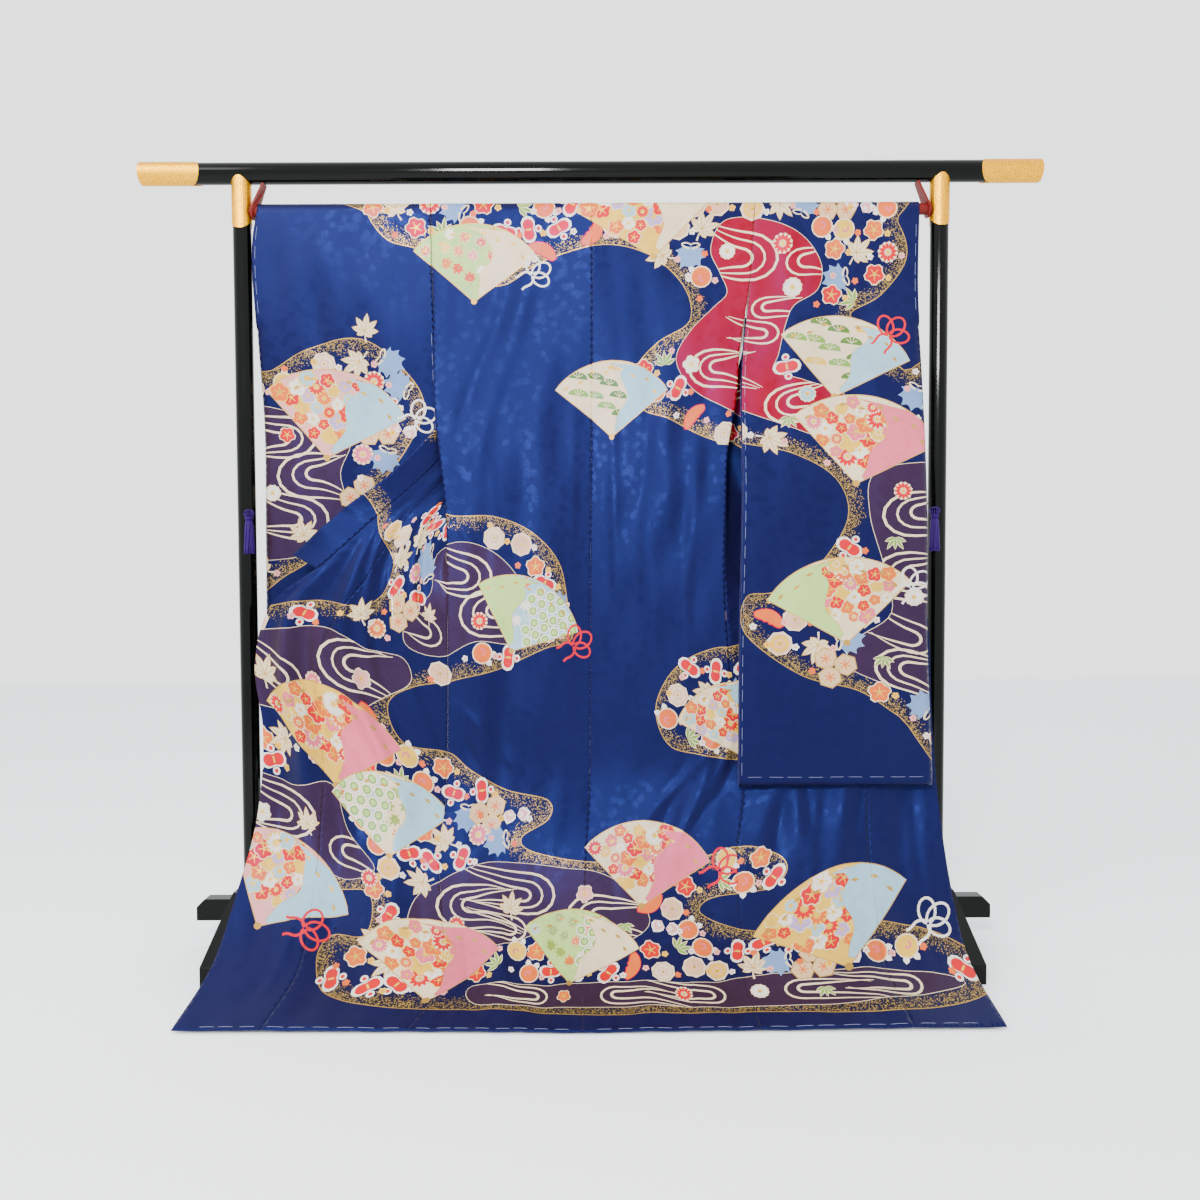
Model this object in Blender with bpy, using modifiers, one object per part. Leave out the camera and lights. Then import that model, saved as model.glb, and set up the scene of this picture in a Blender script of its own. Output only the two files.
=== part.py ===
"""A furisode kimono spread on a lacquered kimono stand, its back to the front (-Y).

Metres, +Z up. The origin is on the floor, under the middle of the whole part. Every place below is
given from the stand: x from its middle, y from the plane of its posts (towards the viewer is
negative) and z from the floor. POST_Y moves it all so that the part is centred on the origin.

Cloth is a wall through ruled sections. A section is one thread line across a panel, at a distance s
below the shoulder line, and its ends lie on the seams that the tables give.
"""
import math

import bmesh
import bpy
import numpy as np
from mathutils import Matrix, Vector

# Driving sizes of the stand
RAIL_HALF = 0.8805
RAIL_RADIUS = 0.0205
RAIL_Z = 1.5325
POST_X = 0.6846
POST_RADIUS = 0.0175
LOW_RAIL_HALF = 0.794
LOW_RAIL_DEPTH = 0.030
LOW_RAIL_LOW = 0.0555
LOW_RAIL_HIGH = 0.0985
LOW_RAIL_BEVEL = 0.016
FOOT_HALF = 0.194
FOOT_WIDTH = 0.058
FOOT_TOE = 0.036
FOOT_TOP = 0.118
FOOT_FLAT_HALF = 0.032
SLEEVE_WALL = 0.0012
CAP_LENGTH = 0.098
CAP_LOBE = 0.022
POST_SLEEVE_LENGTH = 0.086
POST_SLEEVE_LOBE = 0.024
SEAT_GAP = 0.0003
ROUND_SIDES = 32
POST_SIDES = 28
# The tool that bores the post's seat in the foot is this deep
SOCKET_DEPTH = 0.06
# The rail stops this far inside its caps' domed ends
RAIL_END = 0.003

# The hanging rod and the hooks that carry it
ROD_RADIUS = 0.011
ROD_Z = 1.4595
ROD_HALF = 0.6648
HOOK_X = 0.6618
HOOK_TOP_X = 0.640
HOOK_THICK = 0.0045
HOOK_WIDTH = 0.034
ROD_SIDES = 20
# The tool that bores the rod's eye in a hook is this deep
EYE_DEPTH = 0.05

# The tassels tied to the posts
TASSEL_TOP = 0.876
TASSEL_LENGTH = 0.088
TASSEL_RADIUS = 0.011
TASSEL_LEAN = math.radians(63)

# The garment's cut
WALL = 0.0018
COLLAR_WALL = 0.0028
SLEEVE_LENGTH = 1.152
FRONT_WIDTH = 0.245
OKUMI_TIP = 0.22
SIDE_GAP = 0.0006
OKUMI_WIDTH = ((0.22, 0.004), (0.50, 0.070), (0.83, 0.112), (1.66, 0.150))
COLLAR_WIDTH = 0.055
COLLAR_END = 0.85
NECK_TURN = 0.05
NECK_DEPTH = 0.0012
NECK_HALF = 0.090
# Below this distance from the shoulder line a width hangs free of the rod
HANG_START = 0.02
ARMHOLE = 0.230
SIDE_SEAM_START = 0.37
CUFF = 0.230
# The cloth's middle over the rod, with room for the flats of its own bend
DRAPE_RADIUS = ROD_RADIUS + SEAT_GAP + WALL / 2 + 0.0006
COLLAR_RADIUS = ROD_RADIUS + SEAT_GAP + COLLAR_WALL / 2 + 0.0006
HEM_REACH = 0.3742

POST_Y = (HEM_REACH - FOOT_HALF) / 2

# Seams of the back: distance from the shoulder, then x, y, z
CENTRE_SEAM = (
    (0.02, 0.003, -0.0122, 1.4595),
    (0.40, 0.001, -0.0145, 1.080),
    (0.80, -0.004, -0.0160, 0.680),
    (1.00, -0.005, -0.0180, 0.480),
    (1.15, -0.007, -0.0300, 0.331),
    (1.30, -0.014, -0.0830, 0.191),
    (1.45, -0.017, -0.1850, 0.083),
    (1.56, -0.017, -0.2800, 0.032),
    (1.66, -0.015, -0.3740, 0.0050),
)
LEFT_SIDE = (
    (0.02, -0.3120, -0.0122, 1.4595),
    (0.23, -0.3080, -0.0135, 1.2495),
    (0.43, -0.3020, -0.0145, 1.0495),
    (0.52, -0.2945, -0.0160, 0.959),
    (0.62, -0.2870, -0.0170, 0.859),
    (0.80, -0.2860, -0.0190, 0.679),
    (1.00, -0.2860, -0.0220, 0.479),
    (1.15, -0.2880, -0.0360, 0.331),
    (1.30, -0.2940, -0.0880, 0.192),
    (1.45, -0.2720, -0.1870, 0.085),
    (1.56, -0.2640, -0.2800, 0.036),
    (1.66, -0.3030, -0.3690, 0.0060),
)
RIGHT_SIDE = (
    (0.02, 0.3200, -0.0122, 1.4595),
    (0.19, 0.3070, -0.0135, 1.2895),
    (0.30, 0.2880, -0.0140, 1.180),
    (0.40, 0.2780, -0.0145, 1.080),
    (0.47, 0.2670, -0.0145, 1.010),
    (0.59, 0.2640, -0.0150, 0.890),
    (0.73, 0.2610, -0.0160, 0.750),
    (0.90, 0.2700, -0.0180, 0.580),
    (1.15, 0.2980, -0.0340, 0.331),
    (1.28, 0.2780, -0.0790, 0.209),
    (1.45, 0.2700, -0.1850, 0.085),
    (1.56, 0.2650, -0.2750, 0.036),
    (1.66, 0.2770, -0.3690, 0.0060),
)

# Sections of each front: distance from the shoulder; the front edge's x, y, z; how the cloth leaves
# the side seam (x, y, z), and how it comes to the front edge (x, y, z)
LEFT_FRONT = (
    (0.02, -0.090, 0.0122, 1.4595, 0.074, 0.000, 0.000, -0.074, 0.000, 0.000),
    (0.12, -0.116, 0.0240, 1.363, 0.085, 0.014, 0.000, -0.060, -0.020, 0.000),
    (0.23, -0.160, 0.0400, 1.262, 0.110, 0.022, 0.000, 0.020, -0.040, 0.000),
    (0.37, -0.225, 0.0360, 1.138, 0.110, 0.040, 0.000, 0.090, -0.012, 0.000),
    (0.47, -0.250, 0.0220, 1.043, 0.090, 0.034, 0.000, 0.095, 0.050, -0.010),
    (0.54, -0.297, 0.0040, 0.980, 0.072, 0.026, 0.000, 0.105, 0.050, -0.020),
    (0.62, -0.354, -0.0260, 0.918, 0.050, 0.010, 0.000, 0.120, 0.060, -0.030),
    (0.72, -0.428, -0.0500, 0.849, -0.020, 0.030, 0.010, 0.100, 0.015, -0.055),
    (0.83, -0.510, -0.0690, 0.773, -0.060, -0.020, 0.020, 0.100, 0.000, -0.060),
    (0.95, -0.618, -0.0750, 0.685, -0.100, -0.030, 0.030, 0.110, 0.000, -0.040),
    (1.05, -0.646, -0.0790, 0.575, -0.110, -0.030, 0.030, 0.110, 0.000, -0.040),
    (1.15, -0.632, -0.0800, 0.455, -0.110, -0.025, 0.030, 0.110, 0.000, -0.035),
    (1.30, -0.643, -0.0860, 0.285, -0.115, -0.010, 0.030, 0.115, 0.000, -0.030),
    (1.45, -0.663, -0.1600, 0.142, -0.125, 0.005, 0.020, 0.125, 0.000, -0.018),
    (1.56, -0.666, -0.2620, 0.062, -0.130, 0.005, 0.008, 0.130, 0.000, -0.008),
    (1.66, -0.687, -0.3680, 0.0070, -0.125, -0.001, 0.000, 0.125, 0.001, 0.000),
)
RIGHT_FRONT = (
    (0.02, 0.090, 0.0122, 1.4595, -0.077, 0.000, 0.000, 0.077, 0.000, 0.000),
    (0.12, 0.135, 0.0260, 1.370, -0.090, 0.016, 0.000, 0.050, -0.024, 0.000),
    (0.23, 0.198, 0.0440, 1.283, -0.120, 0.024, 0.000, -0.030, -0.040, 0.000),
    (0.37, 0.288, 0.0500, 1.178, -0.110, 0.045, 0.000, -0.110, -0.006, -0.010),
    (0.47, 0.355, 0.0360, 1.107, -0.080, 0.055, 0.000, -0.110, 0.022, -0.020),
    (0.58, 0.430, 0.0180, 1.034, -0.030, 0.065, 0.000, -0.100, 0.034, -0.040),
    (0.70, 0.520, 0.0000, 0.953, 0.030, 0.055, 0.010, -0.110, 0.024, -0.060),
    (0.83, 0.604, -0.0150, 0.872, 0.090, 0.022, 0.040, -0.125, 0.010, -0.075),
    (0.95, 0.650, -0.0180, 0.735, 0.120, 0.006, 0.040, -0.130, 0.002, -0.065),
    (1.05, 0.665, -0.0200, 0.612, 0.125, 0.002, 0.040, -0.130, 0.001, -0.055),
    (1.15, 0.668, -0.0250, 0.487, 0.120, 0.002, 0.040, -0.125, 0.001, -0.050),
    (1.30, 0.677, -0.0450, 0.300, 0.130, 0.006, 0.026, -0.130, 0.000, -0.030),
    (1.45, 0.676, -0.1250, 0.143, 0.133, 0.010, 0.012, -0.133, -0.006, -0.018),
    (1.56, 0.668, -0.2350, 0.058, 0.133, 0.006, 0.006, -0.133, -0.004, -0.010),
    (1.66, 0.678, -0.3650, 0.0070, 0.130, 0.001, 0.000, -0.130, 0.000, 0.000),
)

# Sleeves: distance from the shoulder, x of the inner and the outer edge, y of the middle, half the
# space between the two layers
LEFT_SLEEVE = (
    (0.02, -0.3130, -0.6480, 0.000, 0.0128),
    (0.06, -0.3125, -0.6560, 0.000, 0.0122),
    (0.25, -0.3090, -0.6560, 0.004, 0.0100),
    (0.43, -0.3060, -0.6500, 0.017, 0.0085),
    (0.65, -0.3040, -0.6520, 0.021, 0.0080),
    (0.90, -0.3060, -0.6540, 0.021, 0.0080),
    (1.12, -0.3080, -0.6540, 0.018, 0.0060),
)
RIGHT_SLEEVE = (
    (0.02, 0.3210, 0.6390, 0.000, 0.0128),
    (0.20, 0.3080, 0.6380, -0.004, 0.0100),
    (0.30, 0.2970, 0.6420, -0.014, 0.0090),
    (0.59, 0.2930, 0.6480, -0.041, 0.0080),
    (0.86, 0.2860, 0.6480, -0.050, 0.0080),
    (1.12, 0.2830, 0.6570, -0.058, 0.0060),
)

# Folds of the body: which stretch, where across the panel they run at their top and their foot
# (0 at the side seam, 1 at the other edge), from and to which s, half width, height (out is positive)
LEFT_BACK_FOLDS = (
    (0.10, 0.34, 0.62, 1.30, 0.090, 0.007),
    (0.52, 0.20, 0.74, 1.42, 0.100, -0.006),
    (0.62, 0.78, 0.20, 1.10, 0.120, 0.004),
    (0.30, 0.45, 1.28, 1.64, 0.100, 0.008),
    (0.86, 0.72, 1.34, 1.64, 0.090, -0.005),
)
RIGHT_BACK_FOLDS = (
    (0.40, 0.58, 0.16, 0.98, 0.120, 0.004),
    (0.10, 0.50, 0.98, 1.36, 0.090, 0.008),
    (0.28, 0.74, 1.04, 1.44, 0.080, -0.007),
    (0.70, 0.55, 1.30, 1.64, 0.100, 0.007),
    (0.20, 0.14, 1.36, 1.64, 0.080, -0.006),
)
LEFT_FRONT_FOLDS = (
    (0.92, 0.16, 0.72, 1.26, 0.050, 0.016),
    (0.78, 0.10, 0.66, 1.16, 0.050, -0.010),
    (0.94, 0.44, 0.76, 1.44, 0.055, -0.012),
    (0.97, 0.62, 0.78, 1.50, 0.060, 0.012),
    (0.98, 0.84, 0.80, 1.56, 0.050, -0.010),
    (0.22, 0.28, 1.10, 1.62, 0.070, 0.010),
    (0.55, 0.50, 1.24, 1.64, 0.070, -0.008),
)
RIGHT_FRONT_FOLDS = (
    (0.16, 0.30, 0.98, 1.30, 0.060, 0.010),
    (0.34, 0.10, 1.00, 1.46, 0.060, -0.009),
    (0.62, 0.40, 1.02, 1.56, 0.070, 0.008),
    (0.86, 0.70, 1.16, 1.62, 0.070, -0.006),
    (0.50, 0.56, 1.40, 1.64, 0.060, 0.007),
)

ROWS = (0.0065, 0.013, 0.02, 0.07, 0.13, 0.19, 0.25, 0.31, 0.37, 0.43, 0.49, 0.55, 0.61, 0.67, 0.73, 0.79,
        0.85, 0.91, 0.97, 1.03, 1.09, 1.15, 1.21, 1.27, 1.33, 1.39, 1.45, 1.51, 1.57, 1.62, 1.645, 1.66)
NECK_COLUMNS = 3
PANEL_COLUMNS = 11
OKUMI_COLUMNS = 5
COLLAR_COLUMNS = (0.0, 0.11, 0.22, 0.33, 0.66, 1.0)
# How much cloth a whole radian of bend counts for when columns are shared out
BEND_SHARE = 0.035
FINE_COLUMNS = 96
SLEEVE_COLUMNS = 8

LACQUER = ("black_lacquer", (0.012, 0.016, 0.014), 0.18, 0.0)
GILT = ("gilt_fittings", (0.86, 0.60, 0.22), 0.35, 1.0)
CINNABAR = ("cinnabar_lacquer", (0.25, 0.03, 0.03), 0.35, 0.0)
INDIGO_SILK = ("indigo_silk", (0.016, 0.040, 0.210), 0.45, 0.0)
PURPLE_SILK = ("purple_silk", (0.060, 0.020, 0.160), 0.6, 0.0)


def clear_scene():
    for item in list(bpy.data.objects):
        bpy.data.objects.remove(item, do_unlink=True)


def new_collection(name):
    group = bpy.data.collections.new(name)
    bpy.context.scene.collection.children.link(group)
    return group


def material(look):
    name, colour, roughness, metallic = look
    found = bpy.data.materials.get(name)
    if found:
        return found
    made = bpy.data.materials.new(name)
    made.use_nodes = True
    shader = made.node_tree.nodes["Principled BSDF"]
    shader.inputs["Base Color"].default_value = (*colour, 1.0)
    shader.inputs["Roughness"].default_value = roughness
    shader.inputs["Metallic"].default_value = metallic
    made.diffuse_color = (*colour, 1.0)
    return made


def place(name, mesh, look, group, smooth=True):
    """Adds a mesh as one named object, moved from the stand's own places to the part's."""
    item = bpy.data.objects.new(name, mesh)
    group.objects.link(item)
    item.location = (0.0, POST_Y, 0.0)
    mesh.materials.clear()
    mesh.materials.append(material(look))
    if smooth:
        mesh.shade_smooth()
    return item


def bar(radius, length, sides, axis="Z"):
    """A round bar centred on its own middle, along Z or X."""
    shape = bmesh.new()
    bmesh.ops.create_cone(shape, cap_ends=True, segments=sides, radius1=radius, radius2=radius,
                          depth=length)
    if axis == "X":
        bmesh.ops.rotate(shape, verts=shape.verts, matrix=Matrix.Rotation(math.pi / 2, 3, "Y"))
    return shape


def to_mesh(shape, name):
    mesh = bpy.data.meshes.new(name)
    shape.to_mesh(mesh)
    shape.free()
    return mesh


def moved(shape, place_at):
    bmesh.ops.translate(shape, verts=shape.verts, vec=Vector(place_at))
    return shape


def cut(item, cutter):
    """Takes a cutter's shape out of an item."""
    hole = item.modifiers.new("cut_" + cutter.name, "BOOLEAN")
    hole.operation = "DIFFERENCE"
    hole.solver = "EXACT"
    hole.object = cutter


def add_cutter(name, mesh, group):
    tool = bpy.data.objects.new(name, mesh)
    group.objects.link(tool)
    tool.location = (0.0, POST_Y, 0.0)
    tool.hide_render = True
    tool.display_type = "WIRE"
    return tool


def prism(outline, axis, low, high):
    """A solid of a flat outline, drawn in the other two axes, between two places along an axis."""
    shape = bmesh.new()
    rings = []
    for at in (low, high):
        if axis == "X":
            ring = [shape.verts.new((at, a, b)) for a, b in outline]
        else:
            ring = [shape.verts.new((a, at, b)) for a, b in outline]
        rings.append(ring)
    shape.faces.new(rings[0])
    shape.faces.new(rings[1])
    for i in range(len(outline)):
        j = (i + 1) % len(outline)
        shape.faces.new((rings[0][i], rings[0][j], rings[1][j], rings[1][i]))
    bmesh.ops.recalc_face_normals(shape, faces=shape.faces)
    return shape


def add_bevel(item, width, segments=2):
    edge = item.modifiers.new("rounded_edges", "BEVEL")
    edge.width = width
    edge.segments = segments
    edge.limit_method = "ANGLE"
    edge.angle_limit = math.radians(35)


def lobed_tube(inner, outer, length, lobe, sides, closed_end):
    """A tube along +Z from 0, whose far rim has two round lobes, front and back.

    The rim stands at length + lobe * |sin(angle)| ** 0.7, with the angle measured from +X, so the
    cusps face along X. A closed end gives the tube a slightly domed plate.
    """
    shape = bmesh.new()
    angles = [2 * math.pi * i / sides for i in range(sides)]
    rims = {}
    for name, radius, at in (("outer_low", outer, 0.0), ("outer_high", outer, 1.0),
                             ("inner_high", inner, 1.0), ("inner_low", inner, 0.0)):
        ring = []
        for angle in angles:
            high = length + lobe * abs(math.sin(angle)) ** 0.7
            start = 0.0
            if name == "inner_low" and closed_end:
                start = outer - inner
            height = max(at * high, start)
            ring.append(shape.verts.new((radius * math.cos(angle), radius * math.sin(angle), height)))
        rims[name] = ring
    order = ["outer_low", "outer_high", "inner_high", "inner_low"]
    pairs = list(zip(order, order[1:]))
    if not closed_end:
        pairs.append(("inner_low", "outer_low"))
    for first, second in pairs:
        for i in range(sides):
            j = (i + 1) % sides
            shape.faces.new((rims[first][i], rims[first][j], rims[second][j], rims[second][i]))
    if closed_end:
        dome = shape.verts.new((0.0, 0.0, -0.004))
        floor = shape.verts.new((0.0, 0.0, outer - inner))
        for i in range(sides):
            j = (i + 1) % sides
            shape.faces.new((rims["outer_low"][j], rims["outer_low"][i], dome))
            shape.faces.new((rims["inner_low"][i], rims["inner_low"][j], floor))
    bmesh.ops.recalc_face_normals(shape, faces=shape.faces)
    return shape


def make_stand(group, cutters):
    shape = bar(RAIL_RADIUS, 2 * (RAIL_HALF - RAIL_END), ROUND_SIDES, "X")
    rail = place("top_rail", to_mesh(moved(shape, (0, 0, RAIL_Z)), "top_rail"), LACQUER, group)
    rail.data.set_sharp_from_angle(angle=math.radians(50))
    shape = bar(RAIL_RADIUS + SEAT_GAP, 2 * RAIL_HALF, ROUND_SIDES, "X")
    notch = add_cutter("rail_notch", to_mesh(moved(shape, (0, 0, RAIL_Z)), "rail_notch"), cutters)
    for side, word in ((-1, "left"), (1, "right")):
        make_cap(side, word, group)
        make_post(side, word, group, notch)
        make_foot(side, word, group, cutters)
        make_hook(side, word, group, cutters)
        make_tassel(side, word, group)
    make_low_rail(group)
    rod = moved(bar(ROD_RADIUS, 2 * ROD_HALF, ROD_SIDES, "X"), (0, 0, ROD_Z))
    place("hanging_rod", to_mesh(rod, "hanging_rod"), CINNABAR, group).data.set_sharp_from_angle(
        angle=math.radians(50))


def make_cap(side, word, group):
    """The gilt cap on an end of the top rail, with its lobed rim towards the middle."""
    inner = RAIL_RADIUS + SEAT_GAP
    shape = lobed_tube(inner, inner + SLEEVE_WALL, CAP_LENGTH, CAP_LOBE, ROUND_SIDES, True)
    bmesh.ops.rotate(shape, verts=shape.verts, matrix=Matrix.Rotation(-side * math.pi / 2, 3, "Y"))
    moved(shape, (side * (RAIL_HALF - RAIL_END / 3), 0, RAIL_Z))
    cap = place(f"rail_cap_{word}", to_mesh(shape, "rail_cap"), GILT, group)
    cap.data.set_sharp_from_angle(angle=math.radians(50))


def make_post(side, word, group, notch):
    """A post from its seat in the foot up to the saddle that the top rail lies in, and its gilt sleeve."""
    low = LOW_RAIL_HIGH + SEAT_GAP
    shape = moved(bar(POST_RADIUS, RAIL_Z - low, POST_SIDES), (side * POST_X, 0, (RAIL_Z + low) / 2))
    post = place(f"post_{word}", to_mesh(shape, "post"), LACQUER, group)
    cut(post, notch)
    inner = POST_RADIUS + SEAT_GAP
    shape = lobed_tube(inner, inner + SLEEVE_WALL, POST_SLEEVE_LENGTH, POST_SLEEVE_LOBE, POST_SIDES, False)
    bmesh.ops.rotate(shape, verts=shape.verts, matrix=Matrix.Rotation(math.pi, 3, "X"))
    moved(shape, (side * POST_X, 0, RAIL_Z))
    sleeve = place(f"post_sleeve_{word}", to_mesh(shape, "post_sleeve"), GILT, group)
    cut(sleeve, notch)
    for item in (post, sleeve):
        item.data.set_sharp_from_angle(angle=math.radians(50))


def make_foot(side, word, group, cutters):
    """A foot along Y with sloped toes. The lower rail runs through it, and the post stands in its top."""
    outline = [(-FOOT_HALF, 0.0), (FOOT_HALF, 0.0), (FOOT_HALF, FOOT_TOE), (FOOT_FLAT_HALF, FOOT_TOP),
               (-FOOT_FLAT_HALF, FOOT_TOP), (-FOOT_HALF, FOOT_TOE)]
    middle = side * POST_X
    shape = prism(outline, "X", middle - FOOT_WIDTH / 2, middle + FOOT_WIDTH / 2)
    foot = place(f"foot_{word}", to_mesh(shape, "foot"), LACQUER, group, smooth=False)
    half = LOW_RAIL_DEPTH / 2 + SEAT_GAP
    slot = prism([(-half, LOW_RAIL_LOW - SEAT_GAP), (half, LOW_RAIL_LOW - SEAT_GAP),
                  (half, LOW_RAIL_HIGH + SEAT_GAP), (-half, LOW_RAIL_HIGH + SEAT_GAP)],
                 "X", middle - FOOT_WIDTH, middle + FOOT_WIDTH)
    cut(foot, add_cutter(f"rail_mortise_{word}", to_mesh(slot, "rail_mortise"), cutters))
    socket_top = (middle, 0, LOW_RAIL_HIGH + SOCKET_DEPTH / 2 - SEAT_GAP)
    socket = moved(bar(POST_RADIUS + SEAT_GAP, SOCKET_DEPTH, POST_SIDES), socket_top)
    cut(foot, add_cutter(f"post_socket_{word}", to_mesh(socket, "post_socket"), cutters))
    add_bevel(foot, 0.002)


def make_low_rail(group):
    half = LOW_RAIL_HALF
    outline = [(-half, LOW_RAIL_LOW), (half, LOW_RAIL_LOW), (half, LOW_RAIL_HIGH - LOW_RAIL_BEVEL),
               (half - LOW_RAIL_BEVEL, LOW_RAIL_HIGH), (-half + LOW_RAIL_BEVEL, LOW_RAIL_HIGH),
               (-half, LOW_RAIL_HIGH - LOW_RAIL_BEVEL)]
    shape = prism(outline, "Y", -LOW_RAIL_DEPTH / 2, LOW_RAIL_DEPTH / 2)
    rail = place("lower_rail", to_mesh(shape, "lower_rail"), LACQUER, group, smooth=False)
    add_bevel(rail, 0.0015)


def make_hook(side, word, group, cutters):
    """A flat strip that leans out from the top rail to the rod's end, with a round eye for the rod."""
    top = RAIL_Z - RAIL_RADIUS - SEAT_GAP
    half = HOOK_WIDTH / 2
    steps = 10
    outline = [(half * 0.55, top), (half, ROD_Z)]
    outline += [(half * math.cos(a), ROD_Z - half * math.sin(a))
                for a in (math.pi * i / steps for i in range(1, steps))]
    outline += [(-half, ROD_Z), (-half * 0.55, top)]
    shape = prism(outline, "X", -HOOK_THICK / 2, HOOK_THICK / 2)
    for corner in shape.verts:
        share = min(1.0, max(0.0, (corner.co.z - ROD_Z) / (top - ROD_Z)))
        corner.co.x += side * (HOOK_X + (HOOK_TOP_X - HOOK_X) * share)
    hook = place(f"hook_{word}", to_mesh(shape, "hook"), CINNABAR, group, smooth=False)
    eye = moved(bar(ROD_RADIUS + SEAT_GAP, EYE_DEPTH, ROD_SIDES, "X"), (side * HOOK_X, 0, ROD_Z))
    cut(hook, add_cutter(f"rod_eye_{word}", to_mesh(eye, "rod_eye"), cutters))


def make_tassel(side, word, group):
    """A tassel against the inner front of a post: a tied head, and a skirt of twelve flutes."""
    profile = ((0.0, 0.35), (0.004, 0.80), (0.010, 1.00), (0.016, 0.95), (0.0185, 0.62), (0.0215, 0.62),
               (0.026, 0.86), (0.050, 0.98), (TASSEL_LENGTH, 1.04))
    flutes = 12
    sides = flutes * 2
    shape = bmesh.new()
    rings = []
    for down, wide in profile:
        depth = 0.0 if down < 0.022 else 0.10
        ring = []
        for i in range(sides):
            angle = 2 * math.pi * i / sides
            radius = TASSEL_RADIUS * wide * (1 - depth * (i % 2))
            height = TASSEL_TOP - down
            ring.append(shape.verts.new((radius * math.cos(angle), radius * math.sin(angle), height)))
        rings.append(ring)
    for upper, lower in zip(rings, rings[1:]):
        for i in range(sides):
            j = (i + 1) % sides
            shape.faces.new((upper[i], upper[j], lower[j], lower[i]))
    shape.faces.new(rings[0])
    shape.faces.new(rings[-1])
    bmesh.ops.recalc_face_normals(shape, faces=shape.faces)
    reach = POST_RADIUS + TASSEL_RADIUS * 1.04 + SEAT_GAP
    moved(shape, (side * (POST_X - reach * math.cos(TASSEL_LEAN)), -reach * math.sin(TASSEL_LEAN), 0))
    item = place(f"tassel_{word}", to_mesh(shape, "tassel"), PURPLE_SILK, group)
    item.data.set_sharp_from_angle(angle=math.radians(60))


def smooth_rows(table, at):
    """Reads a table at any s by a cubic through its rows. A row's slope comes from its neighbours."""
    rows = np.array(table, dtype=float)
    knots = rows[:, 0]
    values = rows[:, 1:]
    slopes = np.gradient(values, knots, axis=0)
    at = np.clip(np.asarray(at, dtype=float), knots[0], knots[-1])
    i = np.clip(np.searchsorted(knots, at, side="right") - 1, 0, len(knots) - 2)
    span = (knots[i + 1] - knots[i])[:, None]
    u = ((at - knots[i]) / (knots[i + 1] - knots[i]))[:, None]
    return ((2 * u ** 3 - 3 * u ** 2 + 1) * values[i] + (u ** 3 - 2 * u ** 2 + u) * span * slopes[i]
            + (3 * u ** 2 - 2 * u ** 3) * values[i + 1] + (u ** 3 - u ** 2) * span * slopes[i + 1])


def over_rod(points, s, face, radius):
    """Bends the top of a width round the rod. face is -1 for the side near the viewer and 1 behind."""
    points = points.copy()
    angle = s / radius
    on_rod = angle < math.pi / 2
    points[on_rod, 1] = face * radius * np.sin(angle[on_rod])
    points[on_rod, 2] = ROD_Z + radius * np.cos(angle[on_rod])
    return points


def folds(table, s, t):
    """The height of all folds at s and t: each is a soft ridge that fades at both ends."""
    height = np.zeros_like(t)
    for top, foot, start, end, width, rise in table:
        run = np.clip((s - start) / (end - start), 0.0, 1.0)
        middle = top + (foot - top) * run
        fade = np.sin(math.pi * run) ** 0.8
        height += rise * fade * np.exp(-(((t - middle) / width) ** 2))
    return height


def unit(vectors):
    return vectors / (np.linalg.norm(vectors, axis=-1, keepdims=True) + 1e-12)


def grid_normals(points, s):
    """Unit normals of a grid of points whose rows lie at s."""
    return unit(np.cross(np.gradient(points, axis=1), np.gradient(points, s, axis=0)))


def wrapped(points, normals, s, face):
    """Gives the rows of a grid that lie on the rod their places and their normals there."""
    on_rod = s < DRAPE_RADIUS * math.pi / 2
    angle = s[on_rod] / DRAPE_RADIUS
    points[on_rod, :, 1] = (face * DRAPE_RADIUS * np.sin(angle))[:, None]
    points[on_rod, :, 2] = (ROD_Z + DRAPE_RADIUS * np.cos(angle))[:, None]
    normals[on_rod] = np.stack([0 * angle, face * np.sin(angle), np.cos(angle)], axis=1)[:, None, :]
    return points, normals


def draped(points, height, s, side, face):
    """A grid with its folds raised along its outward normals. face is -1 for the side near the viewer."""
    turn = -face * side
    points = points + turn * grid_normals(points, s) * height[:, :, None]
    return wrapped(points, turn * grid_normals(points, s), s, face)


def spread(start, lead_out, lead_in, end):
    """Sections as cubics from start to end with their two leads, in FINE_COLUMNS steps."""
    u = np.linspace(0.0, 1.0, FINE_COLUMNS + 1)[None, :, None]
    a = start[:, None, :]
    b = a + lead_out[:, None, :]
    d = end[:, None, :]
    c = d + lead_in[:, None, :]
    return (1 - u) ** 3 * a + 3 * (1 - u) ** 2 * u * b + 3 * (1 - u) * u ** 2 * c + u ** 3 * d


def cloth_share(grid):
    """How far along its section's cloth each point of a grid lies, from 0 to 1."""
    steps = np.linalg.norm(np.diff(grid, axis=1), axis=2)
    length = np.concatenate([np.zeros((len(grid), 1)), np.cumsum(steps, axis=1)], axis=1)
    return length / length[:, -1:]


def picked(grid, normals, first, last, columns):
    """Columns of a fine grid between two shares of the cloth, closer together where the cloth bends."""
    share = cloth_share(grid)
    steps = np.diff(grid, axis=1)
    turns = np.arccos(np.clip(np.sum(unit(steps)[:, 1:] * unit(steps)[:, :-1], axis=2), -1, 1))
    weight = np.linalg.norm(steps, axis=2)
    weight[:, 1:] += turns * BEND_SHARE
    run = np.concatenate([np.zeros((len(grid), 1)), np.cumsum(weight, axis=1)], axis=1)
    points = np.empty((len(grid), columns + 1, 3))
    facing = np.empty_like(points)
    for row in range(len(grid)):
        ends = np.interp((first[row], last[row]), share[row], run[row])
        at = np.linspace(ends[0], ends[1], columns + 1)
        for axis in range(3):
            points[row, :, axis] = np.interp(at, run[row], grid[row, :, axis])
            facing[row, :, axis] = np.interp(at, run[row], normals[row, :, axis])
    return points, unit(facing)


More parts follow.
